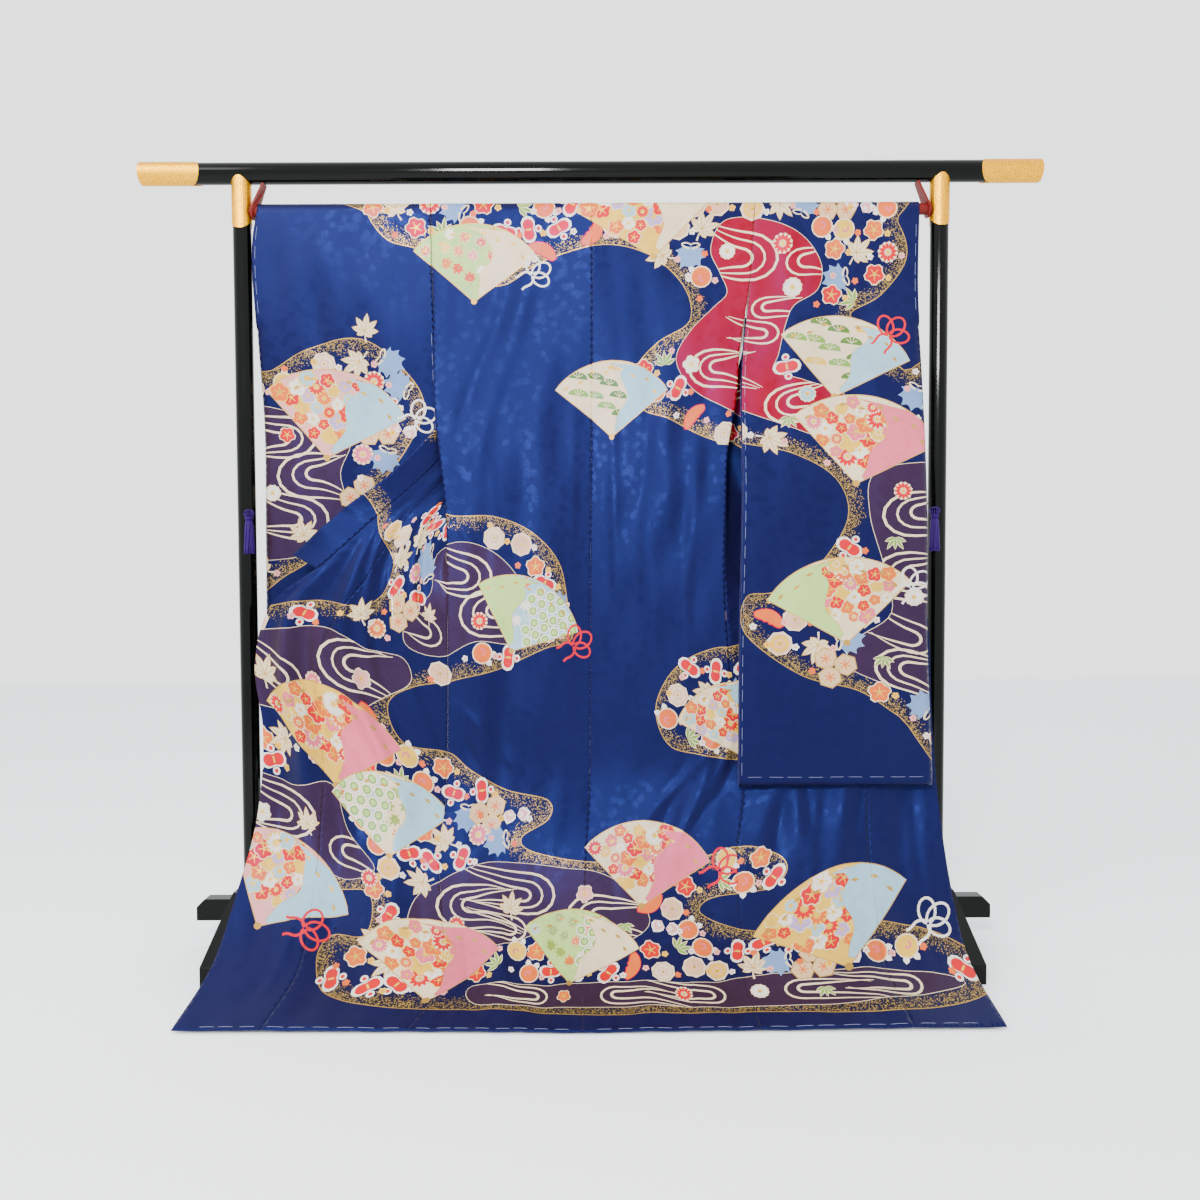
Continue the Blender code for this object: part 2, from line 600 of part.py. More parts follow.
def okumi_share(s):
    """How much of a front section's width the body panel takes; the okumi has the rest."""
    table = np.array(OKUMI_WIDTH)
    width = np.interp(s, table[:, 0], table[:, 1])
    width = np.where(s < OKUMI_TIP, 0.0, width)
    return FRONT_WIDTH / (FRONT_WIDTH + width)


def front_ends(side_table, front_table, s):
    """Side edge, front edge and the two leads of a front's sections."""
    values = smooth_rows(front_table, s)
    edge, lead_out, lead_in = values[:, 0:3], values[:, 3:6], values[:, 6:9]
    back_edge = smooth_rows(side_table, s)
    behind = back_edge.copy()
    behind[:, 1] = DRAPE_RADIUS
    blend = np.clip((s - ARMHOLE) / (SIDE_SEAM_START - ARMHOLE), 0.0, 1.0)[:, None]
    blend = blend * blend * (3 - 2 * blend)
    side = behind * (1 - blend) + back_edge * blend
    outward = np.sign(side_table[0][1])
    open_out = unit(lead_out)[:, 0] * outward
    clear = np.zeros_like(side)
    clear[:, 0] = outward * (SIDE_GAP * np.clip(open_out, 0, 1) + (WALL / 2 + SIDE_GAP) * np.sqrt(
        np.clip(1 - open_out ** 2, 0, 1)))
    clear[:, 1] = (WALL + 2 * SIDE_GAP) * (1 - open_out) / 2
    return side + clear * blend, edge, lead_out, lead_in


def front_grid(side_table, front_table, fold_table):
    """A whole front, body panel and okumi together, as a fine grid of points and outward normals."""
    s = np.array(ROWS)
    side, edge, lead_out, lead_in = front_ends(side_table, front_table, s)
    grid = spread(side, lead_out, lead_in, edge)
    share = cloth_share(grid)
    height = folds(fold_table, s[:, None] + 0 * share, share)
    return draped(grid, height, s, np.sign(side_table[0][1]), 1)


def add_wall(name, points, faces, wall, group, normals=None):
    """A cloth wall: a surface moved out and in by half the wall, and joined round its open edges.

    Without normals of its own it takes those of its mesh.
    """
    mesh = bpy.data.meshes.new(name)
    points = np.asarray(points, dtype=float)
    if normals is None:
        mesh.from_pydata(points.tolist(), [], faces)
        normals = np.array([tuple(corner.normal) for corner in mesh.vertices])
        mesh.clear_geometry()
    count = len(points)
    corners = []
    for face in faces:
        corners += halved(face, points)
    edges = {(a, b) for face in corners for a, b in zip(face, face[1:] + face[:1])}
    both = np.concatenate([points + normals * wall / 2, points - normals * wall / 2])
    solid = list(corners)
    solid += [tuple(count + i for i in reversed(face)) for face in corners]
    for a, b in sorted(edges):
        if (b, a) not in edges:
            solid += halved((b, a, a + count, b + count), both)
    mesh.from_pydata(both.tolist(), [], solid)
    tidy = bmesh.new()
    tidy.from_mesh(mesh)
    bmesh.ops.recalc_face_normals(tidy, faces=tidy.faces)
    tidy.to_mesh(mesh)
    tidy.free()
    return place(name, mesh, INDIGO_SILK, group)


def halved(face, points):
    """A face as triangles. Four sides are cut along the shorter diagonal, alike on both sides of a wall."""
    if len(face) == 3:
        return [tuple(face)]
    a, b, c, d = face
    if np.linalg.norm(points[a] - points[c]) <= np.linalg.norm(points[b] - points[d]):
        return [(a, b, c), (a, c, d)]
    return [(a, b, d), (b, c, d)]


def grid_faces(start, rows, columns):
    """Quads of a grid whose points follow one another row by row from number start."""
    return [(start + r * columns + c, start + r * columns + c + 1, start + (r + 1) * columns + c + 1,
             start + (r + 1) * columns + c) for r in range(rows - 1) for c in range(columns - 1)]


def body_panel(word, side_table, front, back_folds, group):
    """One body width, cut in one piece: from the back hem over the shoulder to the front hem.

    Columns run from the side seam to the middle. The neck is cut out of the front half, so the last
    NECK_COLUMNS columns stop at the shoulder line.
    """
    outward = np.sign(side_table[0][1])
    s = np.array((0.0,) + ROWS)
    side = smooth_rows(side_table, s)
    middle = smooth_rows(CENTRE_SEAM, s)
    middle[:, 0] += outward * SEAT_GAP / 2
    neck_share = (abs(side[0, 0]) - NECK_HALF) / abs(side[0, 0] - middle[0, 0])
    t = np.concatenate([np.linspace(0, neck_share, PANEL_COLUMNS + 1),
                        np.linspace(neck_share, 1, NECK_COLUMNS + 1)[1:]])
    grid = side[:, None, :] * (1 - t)[None, :, None] + middle[:, None, :] * t[None, :, None]
    height = folds(back_folds, s[:, None] + 0 * t, t[None, :] + 0 * s[:, None])
    grid, normals = draped(grid, height, s, outward, -1)
    share = okumi_share(np.array(ROWS))
    seam = share - np.where(share < 1.0, SEAT_GAP / 2 / FRONT_WIDTH, 0.0)
    points, facing = picked(*front, 0 * seam, seam, PANEL_COLUMNS)
    first = grid.shape[0] * grid.shape[1]
    shoulder = (len(s) - 1) * len(t)
    faces = grid_faces(0, len(s), len(t))
    faces += [(shoulder + c, shoulder + c + 1, first + c + 1, first + c) for c in range(PANEL_COLUMNS)]
    faces += grid_faces(first, len(points), PANEL_COLUMNS + 1)
    places = np.concatenate([grid[::-1].reshape(-1, 3), points.reshape(-1, 3)])
    outward_normals = np.concatenate([normals[::-1].reshape(-1, 3), facing.reshape(-1, 3)])
    return add_wall(f"body_{word}", places, faces, WALL, group, outward_normals)


def okumi(word, front, group):
    """The overlap panel, sewn to the body's front from a point under the collar down to the hem."""
    rows = np.array(ROWS) > OKUMI_TIP
    seam = okumi_share(np.array(ROWS)[rows]) + SEAT_GAP / 2 / FRONT_WIDTH
    grid, normals = front
    points, facing = picked(grid[rows], normals[rows], seam, 0 * seam + 1, OKUMI_COLUMNS)
    return add_wall(f"okumi_{word}", points.reshape(-1, 3), grid_faces(0, len(points), OKUMI_COLUMNS + 1),
                    WALL, group, facing.reshape(-1, 3))


def collar_leg(front):
    """The collar down one front: a band that goes on past the front edge in the panel's own direction."""
    rows = (np.array(ROWS) > NECK_TURN) & (np.array(ROWS) <= COLLAR_END)
    grid, normals = front
    grid = grid[rows]
    way = unit(grid[:, -1] - grid[:, -2])
    reach = SEAT_GAP + COLLAR_WIDTH * np.array(COLLAR_COLUMNS)
    points = grid[:, -1][:, None, :] + way[:, None, :] * reach[None, :, None]
    facing = grid_normals(points, np.array(ROWS)[rows])
    edge = normals[rows][:, -1]
    facing *= np.sign(np.sum(facing[:, 0] * edge, axis=1))[:, None, None]
    fade = np.array(COLLAR_COLUMNS)[None, :, None]
    return points, unit(facing * fade + edge[:, None, :] * (1 - fade))


def collar_neck():
    """The collar round the back of the neck. It is laid out flat, then bent over the rod's far side.

    Each row of the table is x and s on the sewn edge, then x and s on the free edge; the table is one
    half, from the shoulder corner to the middle of the back.
    """
    low = NECK_DEPTH
    out = NECK_HALF - SEAT_GAP
    half = np.array([
        (out, COLLAR_RADIUS * math.pi / 2, 0.0440, 0.066),
        (out, 0.013, 0.0430, 0.0625),
        (out, 0.0065, 0.0420, 0.0600),
        (out - 0.001, low, 0.0400, low + COLLAR_WIDTH),
        (0.055, low, 0.0260, low + COLLAR_WIDTH),
        (0.020, low, 0.0100, low + COLLAR_WIDTH),
    ])
    left = half * np.array([-1, 1, -1, 1])
    rows = np.concatenate([left, half[::-1]])
    share = np.array(COLLAR_COLUMNS)[None, :]
    x = rows[:, 0:1] * (1 - share) + rows[:, 2:3] * share
    s = rows[:, 1:2] * (1 - share) + rows[:, 3:4] * share
    flat = np.stack([x, 0 * x + COLLAR_RADIUS, ROD_Z + HANG_START - s], axis=2)
    points = over_rod(flat.reshape(-1, 3), s.reshape(-1), 1, COLLAR_RADIUS)
    angle = np.minimum(s.reshape(-1) / COLLAR_RADIUS, math.pi / 2)
    facing = np.stack([0 * angle, np.sin(angle), np.cos(angle)], axis=1)
    return points.reshape(flat.shape), facing.reshape(flat.shape)


def collar(left_front, right_front, group):
    """The collar: up the left front, round the neck behind the rod, and down the right front."""
    left, left_facing = collar_leg(left_front)
    neck, neck_facing = collar_neck()
    right, right_facing = collar_leg(right_front)
    points = np.concatenate([left[::-1], neck, right])
    facing = np.concatenate([left_facing[::-1], neck_facing, right_facing])
    return add_wall("collar", points.reshape(-1, 3), grid_faces(0, len(points), len(COLLAR_COLUMNS)),
                    COLLAR_WALL, group, facing.reshape(-1, 3))


def sleeve(word, table, group):
    """A sleeve: one width folded over the rod, closed below and along the outer edge under the cuff.

    Each column is a closed loop: up the front layer, over the rod, down the back layer and round the
    bottom. The outer edge is joined across below the cuff, and the inner edge stays open.
    """
    s = np.concatenate([[0.0, 0.0065, 0.013, 0.02], np.linspace(0.08, CUFF, 3),
                        np.linspace(CUFF, SLEEVE_LENGTH - 0.014, 13)[1:]])
    values = smooth_rows(table, s)
    inner, outer, middle, half = values.T
    t = np.linspace(0, 1, SLEEVE_COLUMNS + 1)
    outward = np.sign(table[0][1])
    seam_gap = outward * 2 * SEAT_GAP
    grids = {}
    for face in (-1, 1):
        grid = np.empty((len(s), len(t), 3))
        grid[:, :, 0] = (inner + seam_gap)[:, None] * (1 - t) + outer[:, None] * t
        closing = 1 - 0.45 * t[None, :] ** 6 * np.clip((s[:, None] - CUFF) / 0.1, 0, 1)
        grid[:, :, 1] = middle[:, None] + face * half[:, None] * closing
        grid[:, :, 2] = (ROD_Z + HANG_START - s)[:, None]
        bent = over_rod(grid.reshape(-1, 3), np.repeat(s, len(t)), face, DRAPE_RADIUS)
        grids[face] = bent.reshape(grid.shape)
    bottom = (grids[-1][-1] + grids[1][-1]) / 2
    bottom[:, 2] -= 0.008
    loop = np.concatenate([grids[-1][::-1], grids[1][1:], bottom[None]])
    rows, columns = loop.shape[:2]
    faces = [(r * columns + c, r * columns + c + 1, ((r + 1) % rows) * columns + c + 1,
              ((r + 1) % rows) * columns + c) for r in range(rows) for c in range(columns - 1)]
    points = [tuple(p) for p in loop.reshape(-1, 3)]
    cuff_row = int(np.argmin(abs(s - CUFF)))
    count = len(s)
    front_rows = [count - 1 - i for i in range(cuff_row, count)]
    back_rows = [count - 1 + i for i in range(cuff_row, count)]
    ends = []
    for front_row, back_row in zip(front_rows, back_rows):
        front_at = front_row * columns + columns - 1
        back_at = back_row * columns + columns - 1
        mean = (np.array(points[front_at]) + np.array(points[back_at])) / 2
        mean[0] += outward * 0.004
        ends.append((front_at, len(points), back_at))
        points.append(tuple(mean))
    for upper, lower in zip(ends, ends[1:]):
        faces.append((upper[0], upper[1], lower[1], lower[0]))
        faces.append((upper[1], upper[2], lower[2], lower[1]))
    last = (rows - 1) * columns + columns - 1
    faces.append((ends[-1][0], ends[-1][1], last))
    faces.append((ends[-1][1], ends[-1][2], last))
    return add_wall(f"sleeve_{word}", points, consistent(points, faces), WALL, group)


def consistent(points, faces):
    """The same faces, all wound the same way round."""
    shape = bmesh.new()
    corners = [shape.verts.new(point) for point in points]
    shape.verts.index_update()
    for face in faces:
        shape.faces.new([corners[i] for i in face])
    bmesh.ops.recalc_face_normals(shape, faces=shape.faces)
    wound = [tuple(corner.index for corner in face.verts) for face in shape.faces]
    shape.free()
    return wound


def make_kimono(group):
    left = front_grid(LEFT_SIDE, LEFT_FRONT, LEFT_FRONT_FOLDS)
    right = front_grid(RIGHT_SIDE, RIGHT_FRONT, RIGHT_FRONT_FOLDS)
    body_panel("left", LEFT_SIDE, left, LEFT_BACK_FOLDS, group)
    body_panel("right", RIGHT_SIDE, right, RIGHT_BACK_FOLDS, group)
    okumi("left", left, group)
    okumi("right", right, group)
    collar(left, right, group)
    sleeve("left", LEFT_SLEEVE, group)
    sleeve("right", RIGHT_SLEEVE, group)


def main():
    clear_scene()
    cutters = new_collection("cutters")
    make_stand(new_collection("kimono_stand"), cutters)
    make_kimono(new_collection("furisode_kimono"))


main()
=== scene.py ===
# %% [markdown]
# # A furisode spread on its stand
# A furisode is the long-sleeved silk kimono of a young woman. Between wearings it hangs on a
# lacquered stand, its back to the room, with the skirt drawn out over the floor.
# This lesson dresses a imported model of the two: the stand keeps its solids and gets its
# finishes, and every width of silk is made anew as a thin shell with its dyed pattern.

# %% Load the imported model
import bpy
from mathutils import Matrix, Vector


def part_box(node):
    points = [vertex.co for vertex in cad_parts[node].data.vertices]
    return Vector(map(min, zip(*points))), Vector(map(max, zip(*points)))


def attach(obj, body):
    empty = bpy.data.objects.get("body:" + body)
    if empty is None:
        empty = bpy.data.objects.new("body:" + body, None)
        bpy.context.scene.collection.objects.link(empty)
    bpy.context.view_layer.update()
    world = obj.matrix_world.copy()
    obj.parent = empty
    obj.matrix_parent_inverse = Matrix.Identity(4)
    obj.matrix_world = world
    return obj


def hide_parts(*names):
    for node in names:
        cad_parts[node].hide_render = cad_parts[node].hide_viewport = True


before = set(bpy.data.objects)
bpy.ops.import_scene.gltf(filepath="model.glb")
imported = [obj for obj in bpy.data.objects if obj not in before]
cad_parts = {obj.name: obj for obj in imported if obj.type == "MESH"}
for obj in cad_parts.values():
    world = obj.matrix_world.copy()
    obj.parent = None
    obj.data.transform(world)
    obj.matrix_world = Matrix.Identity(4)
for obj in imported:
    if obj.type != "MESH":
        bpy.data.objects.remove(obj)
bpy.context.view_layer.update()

import math

import bpy
import numpy as np
from mathutils import Matrix, Vector
from mathutils.geometry import delaunay_2d_cdt

MM = 0.001

# %% [markdown]
# ## Where things stand
# Every place on the cloth is given from the plane of the stand's posts, so the first step is to
# find that plane, and the rod that the kimono hangs over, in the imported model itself.

# %% Post plane and rod
POST_LOW, POST_HIGH = (np.array(corner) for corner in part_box("post_left"))
POST_Y = float((POST_LOW + POST_HIGH)[1] / 2)
ROD_LOW, ROD_HIGH = (np.array(corner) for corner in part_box("hanging_rod"))
ROD_Z = float((ROD_LOW + ROD_HIGH)[2] / 2)
ROD_RADIUS = float((ROD_HIGH - ROD_LOW)[2] / 2)
print("posts at y", round(POST_Y, 4), "rod at z", round(ROD_Z, 4), "radius", round(ROD_RADIUS, 4))

# %% [markdown]
# ## Camera
# A camera sees the object as the photograph does when its height, distance and lens are the
# same. These were worked out from the stand, whose rails and posts are straight and of known
# size: the lens is level with the sitter's waist, two degrees down and a hair out of level.

# %% Set the camera
CAMERA_AT = Vector((0.0154, -1.8909 + POST_Y, 0.7616))
CAMERA_DOWN = math.radians(2.049)
CAMERA_ROLL = math.radians(-0.22)
FOCAL_MM = 28.5
SENSOR_MM = 36.0


def placed(name, data):
    """A new object in the scene, which holds a mesh, a lamp or a camera."""
    item = bpy.data.objects.new(name, data)
    bpy.context.scene.collection.objects.link(item)
    return item


lens = bpy.data.cameras.new("camera")
lens.lens = FOCAL_MM
lens.sensor_width = SENSOR_MM
camera = placed("camera", lens)
forward = Vector((0.0, math.cos(CAMERA_DOWN), -math.sin(CAMERA_DOWN)))
upright = Vector((0.0, math.sin(CAMERA_DOWN), math.cos(CAMERA_DOWN)))
level = Vector((1.0, 0.0, 0.0))
right_way = level * math.cos(CAMERA_ROLL) + upright * math.sin(CAMERA_ROLL)
up_way = upright * math.cos(CAMERA_ROLL) - level * math.sin(CAMERA_ROLL)
bpy.context.scene.camera = camera
camera.matrix_world = Matrix(((right_way.x, up_way.x, -forward.x, CAMERA_AT.x),
                              (right_way.y, up_way.y, -forward.y, CAMERA_AT.y),
                              (right_way.z, up_way.z, -forward.z, CAMERA_AT.z),
                              (0.0, 0.0, 0.0, 1.0)))
print("camera at", tuple(round(v, 3) for v in CAMERA_AT))

# %% [markdown]
# ## Colour and nodes
# Dyers and painters speak of colours as the eye sees them, so they are written as sRGB hex
# values here and turned to the linear values that a renderer adds up. One small function adds
# a node, sets its inputs and links it.

# %% Colour and node helpers
def linear(code):
    """An sRGB hex value as linear red, green and blue: ((c + 0.055) / 1.055) ** 2.4 over 0.04."""
    parts = [int(code[i:i + 2], 16) / 255 for i in (1, 3, 5)]
    return tuple(c / 12.92 if c <= 0.04045 else ((c + 0.055) / 1.055) ** 2.4 for c in parts)


def rgba(code):
    """A hex value as linear colour with a full alpha."""
    return (*linear(code), 1.0)


def feed(node, inputs):
    """Sets or links inputs, by name or number: to a value, a node's socket or a node's first output."""
    for key, value in inputs.items():
        value = value.outputs[0] if isinstance(value, bpy.types.Node) else value
        if isinstance(value, bpy.types.NodeSocket):
            node.id_data.links.new(value, node.inputs[key])
        else:
            node.inputs[key].default_value = value


def add(tree, kind, inputs, **settings):
    """Adds one shader node with its settings and feeds its inputs."""
    node = tree.nodes.new("ShaderNode" + kind)
    for name, value in settings.items():
        setattr(node, name, value)
    feed(node, inputs)
    return node


def new_material(name):
    """A material with one Principled shader, and that shader's node tree."""
    made = bpy.data.materials.new(name)
    made.use_nodes = True
    tree = made.node_tree
    return made, tree, tree.nodes["Principled BSDF"]


def dress(item, material):
    """Gives an object one material in all its slots."""
    item.data.materials.clear()
    item.data.materials.append(material)
    return item

# %% [markdown]
# ## The cut of the cloth
# A kimono is cut from one narrow bolt. Each body width runs from the back hem over the shoulder
# to the front hem; the overlap widths, the collar and the two long sleeves are sewn to it. A
# place on any width is given by how far down it lies from the shoulder, and how far across.
# The hang of each width is a short table of its seams, with a smooth curve through the rows. A
# simulation could hang the cloth too, but it would not come to rest in the photograph's own lines.

# %% Seams of the back and the sleeves
HEM = 1.66
CENTRE_SEAM = (
    (0.02, 0.003, -0.0122, 1.4595),
    (0.4, 0.001, -0.0145, 1.08),
    (0.8, -0.004, -0.016, 0.68),
    (1.0, -0.005, -0.018, 0.48),
    (1.15, -0.007, -0.03, 0.331),
    (1.3, -0.014, -0.083, 0.191),
    (1.45, -0.017, -0.185, 0.083),
    (1.56, -0.017, -0.28, 0.032),
    (1.66, -0.015, -0.374, 0.005),
)
LEFT_SIDE = (
    (0.02, -0.312, -0.0122, 1.4595),
    (0.23, -0.308, -0.0135, 1.2495),
    (0.43, -0.302, -0.0145, 1.0495),
    (0.52, -0.2945, -0.016, 0.959),
    (0.62, -0.287, -0.017, 0.859),
    (0.8, -0.286, -0.019, 0.679),
    (1.0, -0.286, -0.022, 0.479),
    (1.15, -0.288, -0.036, 0.331),
    (1.3, -0.294, -0.088, 0.192),
    (1.45, -0.272, -0.187, 0.085),
    (1.56, -0.264, -0.28, 0.036),
    (1.66, -0.303, -0.369, 0.006),
)
RIGHT_SIDE = (
    (0.02, 0.32, -0.0122, 1.4595),
    (0.19, 0.307, -0.0135, 1.2895),
    (0.3, 0.288, -0.014, 1.18),
    (0.4, 0.278, -0.0145, 1.08),
    (0.47, 0.267, -0.0145, 1.01),
    (0.59, 0.264, -0.015, 0.89),
    (0.73, 0.261, -0.016, 0.75),
    (0.9, 0.27, -0.018, 0.58),
    (1.15, 0.298, -0.034, 0.331),
    (1.28, 0.278, -0.079, 0.209),
    (1.45, 0.27, -0.185, 0.085),
    (1.56, 0.265, -0.275, 0.036),
    (1.66, 0.277, -0.369, 0.006),
)
# Sleeves: distance down, x of the inner and the outer edge, y of the middle, half the space inside
LEFT_SLEEVE = (
    (0.02, -0.313, -0.648, 0.0, 0.0128),
    (0.06, -0.3125, -0.656, 0.0, 0.0122),
    (0.25, -0.309, -0.656, 0.004, 0.01),
    (0.43, -0.306, -0.65, 0.017, 0.0085),
    (0.65, -0.304, -0.652, 0.021, 0.008),
    (0.9, -0.306, -0.654, 0.021, 0.008),
    (1.12, -0.308, -0.654, 0.018, 0.006),
)
RIGHT_SLEEVE = (
    (0.02, 0.321, 0.639, 0.0, 0.0128),
    (0.2, 0.308, 0.638, -0.004, 0.01),
    (0.3, 0.297, 0.642, -0.014, 0.009),
    (0.59, 0.293, 0.648, -0.041, 0.008),
    (0.86, 0.286, 0.648, -0.05, 0.008),
    (1.12, 0.283, 0.657, -0.058, 0.006),
)
print("seam tables", len(CENTRE_SEAM), len(LEFT_SIDE), len(RIGHT_SIDE))

# %% Sections of the fronts
# Distance down; the front edge's x, y, z; how the cloth leaves the side seam, x, y, z; and how
# it comes to the front edge, x, y, z
LEFT_FRONT = (
    (0.02, -0.09, 0.0122, 1.4595, 0.074, 0.0, 0.0, -0.074, 0.0, 0.0),
    (0.12, -0.116, 0.024, 1.363, 0.085, 0.014, 0.0, -0.06, -0.02, 0.0),
    (0.23, -0.16, 0.04, 1.262, 0.11, 0.022, 0.0, 0.02, -0.04, 0.0),
    (0.37, -0.225, 0.036, 1.138, 0.11, 0.04, 0.0, 0.09, -0.012, 0.0),
    (0.47, -0.25, 0.022, 1.043, 0.09, 0.034, 0.0, 0.095, 0.05, -0.01),
    (0.54, -0.297, 0.004, 0.98, 0.072, 0.026, 0.0, 0.105, 0.05, -0.02),
    (0.62, -0.354, -0.026, 0.918, 0.05, 0.01, 0.0, 0.12, 0.06, -0.03),
    (0.72, -0.428, -0.05, 0.849, -0.02, 0.03, 0.01, 0.1, 0.015, -0.055),
    (0.83, -0.51, -0.069, 0.773, -0.06, -0.02, 0.02, 0.1, 0.0, -0.06),
    (0.95, -0.618, -0.075, 0.685, -0.1, -0.03, 0.03, 0.11, 0.0, -0.04),
    (1.05, -0.646, -0.079, 0.575, -0.11, -0.03, 0.03, 0.11, 0.0, -0.04),
    (1.15, -0.632, -0.08, 0.455, -0.11, -0.025, 0.03, 0.11, 0.0, -0.035),
    (1.3, -0.643, -0.086, 0.285, -0.115, -0.01, 0.03, 0.115, 0.0, -0.03),
    (1.45, -0.663, -0.16, 0.142, -0.125, 0.005, 0.02, 0.125, 0.0, -0.018),
    (1.56, -0.666, -0.262, 0.062, -0.13, 0.005, 0.008, 0.13, 0.0, -0.008),
    (1.66, -0.687, -0.368, 0.007, -0.125, -0.001, 0.0, 0.125, 0.001, 0.0),
)
RIGHT_FRONT = (
    (0.02, 0.09, 0.0122, 1.4595, -0.077, 0.0, 0.0, 0.077, 0.0, 0.0),
    (0.12, 0.135, 0.026, 1.37, -0.09, 0.016, 0.0, 0.05, -0.024, 0.0),
    (0.23, 0.198, 0.044, 1.283, -0.12, 0.024, 0.0, -0.03, -0.04, 0.0),
    (0.37, 0.288, 0.05, 1.178, -0.11, 0.045, 0.0, -0.11, -0.006, -0.01),
    (0.47, 0.355, 0.036, 1.107, -0.08, 0.055, 0.0, -0.11, 0.022, -0.02),
    (0.58, 0.43, 0.018, 1.034, -0.03, 0.065, 0.0, -0.1, 0.034, -0.04),
    (0.7, 0.52, 0.0, 0.953, 0.03, 0.055, 0.01, -0.11, 0.024, -0.06),
    (0.83, 0.604, -0.015, 0.872, 0.09, 0.022, 0.04, -0.125, 0.01, -0.075),
    (0.95, 0.65, -0.018, 0.735, 0.12, 0.006, 0.04, -0.13, 0.002, -0.065),
    (1.05, 0.665, -0.02, 0.612, 0.125, 0.002, 0.04, -0.13, 0.001, -0.055),
    (1.15, 0.668, -0.025, 0.487, 0.12, 0.002, 0.04, -0.125, 0.001, -0.05),
    (1.3, 0.677, -0.045, 0.3, 0.13, 0.006, 0.026, -0.13, 0.0, -0.03),
    (1.45, 0.676, -0.125, 0.143, 0.133, 0.01, 0.012, -0.133, -0.006, -0.018),
    (1.56, 0.668, -0.235, 0.058, 0.133, 0.006, 0.006, -0.133, -0.004, -0.01),
    (1.66, 0.678, -0.365, 0.007, 0.13, 0.001, 0.0, -0.13, 0.0, 0.0),
)
print("front tables", len(LEFT_FRONT), len(RIGHT_FRONT))

# %% [markdown]
# ## Folds
# Hung silk is never flat. Each fold is one row: where across the width it runs at its top and at
# its foot, where it starts and ends below the shoulder, how wide it is and how high. A soft
# bell-shaped ridge follows that line and fades out at both ends. The first rows of each table
# are the large folds; the finer creases follow them. Folds could be sculpted, but a fold that is
# a row can be moved by itself until it agrees with the photograph.

# %% Folds of each width
LEFT_BACK_FOLDS = (
    (0.1, 0.34, 0.62, 1.3, 0.09, 0.007),
    (0.52, 0.2, 0.74, 1.42, 0.1, -0.006),
    (0.62, 0.78, 0.2, 1.1, 0.12, 0.004),
    (0.3, 0.45, 1.28, 1.64, 0.1, 0.008),
    (0.86, 0.72, 1.34, 1.64, 0.09, -0.005),
    (0.66, 0.2, 0.1, 0.56, 0.07, 0.003),
    (0.5, 0.1, 0.16, 0.48, 0.04, -0.0016),
    (0.9, 0.84, 0.3, 1.05, 0.03, 0.0014),
    (0.34, 0.3, 0.48, 1.02, 0.03, 0.0012),
    (0.02, 0.3, 0.6, 0.74, 0.025, 0.0022),
    (0.04, 0.62, 0.98, 1.16, 0.035, 0.0034),
    (0.02, 0.46, 1.03, 1.2, 0.025, -0.0028),
    (0.06, 0.7, 1.1, 1.3, 0.03, 0.0024),
    (0.4, 0.46, 1.36, 1.58, 0.022, 0.002),
    (0.66, 0.6, 1.24, 1.5, 0.024, 0.0018),
    (0.14, 0.2, 1.4, 1.62, 0.02, -0.0022),
)
RIGHT_BACK_FOLDS = (
    (0.4, 0.58, 0.16, 0.98, 0.12, 0.004),
    (0.1, 0.5, 0.98, 1.36, 0.09, 0.008),
    (0.28, 0.74, 1.04, 1.44, 0.08, -0.007),
    (0.7, 0.55, 1.3, 1.64, 0.1, 0.007),
    (0.2, 0.14, 1.36, 1.64, 0.08, -0.006),
    (0.16, 0.62, 1.06, 1.22, 0.03, 0.0056),
    (0.06, 0.44, 1.1, 1.3, 0.036, -0.004),
    (0.02, 0.24, 1.02, 1.2, 0.03, 0.005),
    (0.86, 0.8, 0.24, 0.96, 0.028, 0.0014),
    (0.55, 0.66, 0.2, 0.72, 0.045, -0.0016),
    (0.2, 0.34, 0.46, 0.98, 0.04, 0.002),
    (0.46, 0.42, 1.3, 1.56, 0.022, 0.002),
    (0.8, 0.88, 1.3, 1.6, 0.026, -0.002),
    (0.34, 0.3, 1.44, 1.64, 0.018, 0.0018),
)
LEFT_FRONT_FOLDS = (
    (0.92, 0.16, 0.72, 1.26, 0.05, 0.016),
    (0.78, 0.1, 0.66, 1.16, 0.05, -0.01),
    (0.94, 0.44, 0.76, 1.44, 0.055, -0.012),
    (0.97, 0.62, 0.78, 1.5, 0.06, 0.012),
    (0.98, 0.84, 0.8, 1.56, 0.05, -0.01),
    (0.22, 0.28, 1.1, 1.62, 0.07, 0.01),
    (0.55, 0.5, 1.24, 1.64, 0.07, -0.008),
    (0.86, 0.34, 0.7, 1.02, 0.022, 0.006),
    (0.66, 0.2, 0.7, 0.98, 0.02, -0.004),
    (0.96, 0.7, 0.84, 1.3, 0.022, 0.0045),
    (0.6, 0.06, 0.62, 0.94, 0.026, 0.005),
    (0.44, 0.04, 0.66, 0.9, 0.02, -0.0036),
    (0.3, 0.02, 0.9, 1.12, 0.024, 0.0042),
    (0.8, 0.64, 1.12, 1.46, 0.022, -0.003),
    (0.36, 0.4, 1.2, 1.56, 0.02, 0.003),
    (0.12, 0.1, 1.26, 1.6, 0.022, -0.0026),
    (0.7, 0.72, 1.36, 1.62, 0.02, 0.0026),
)
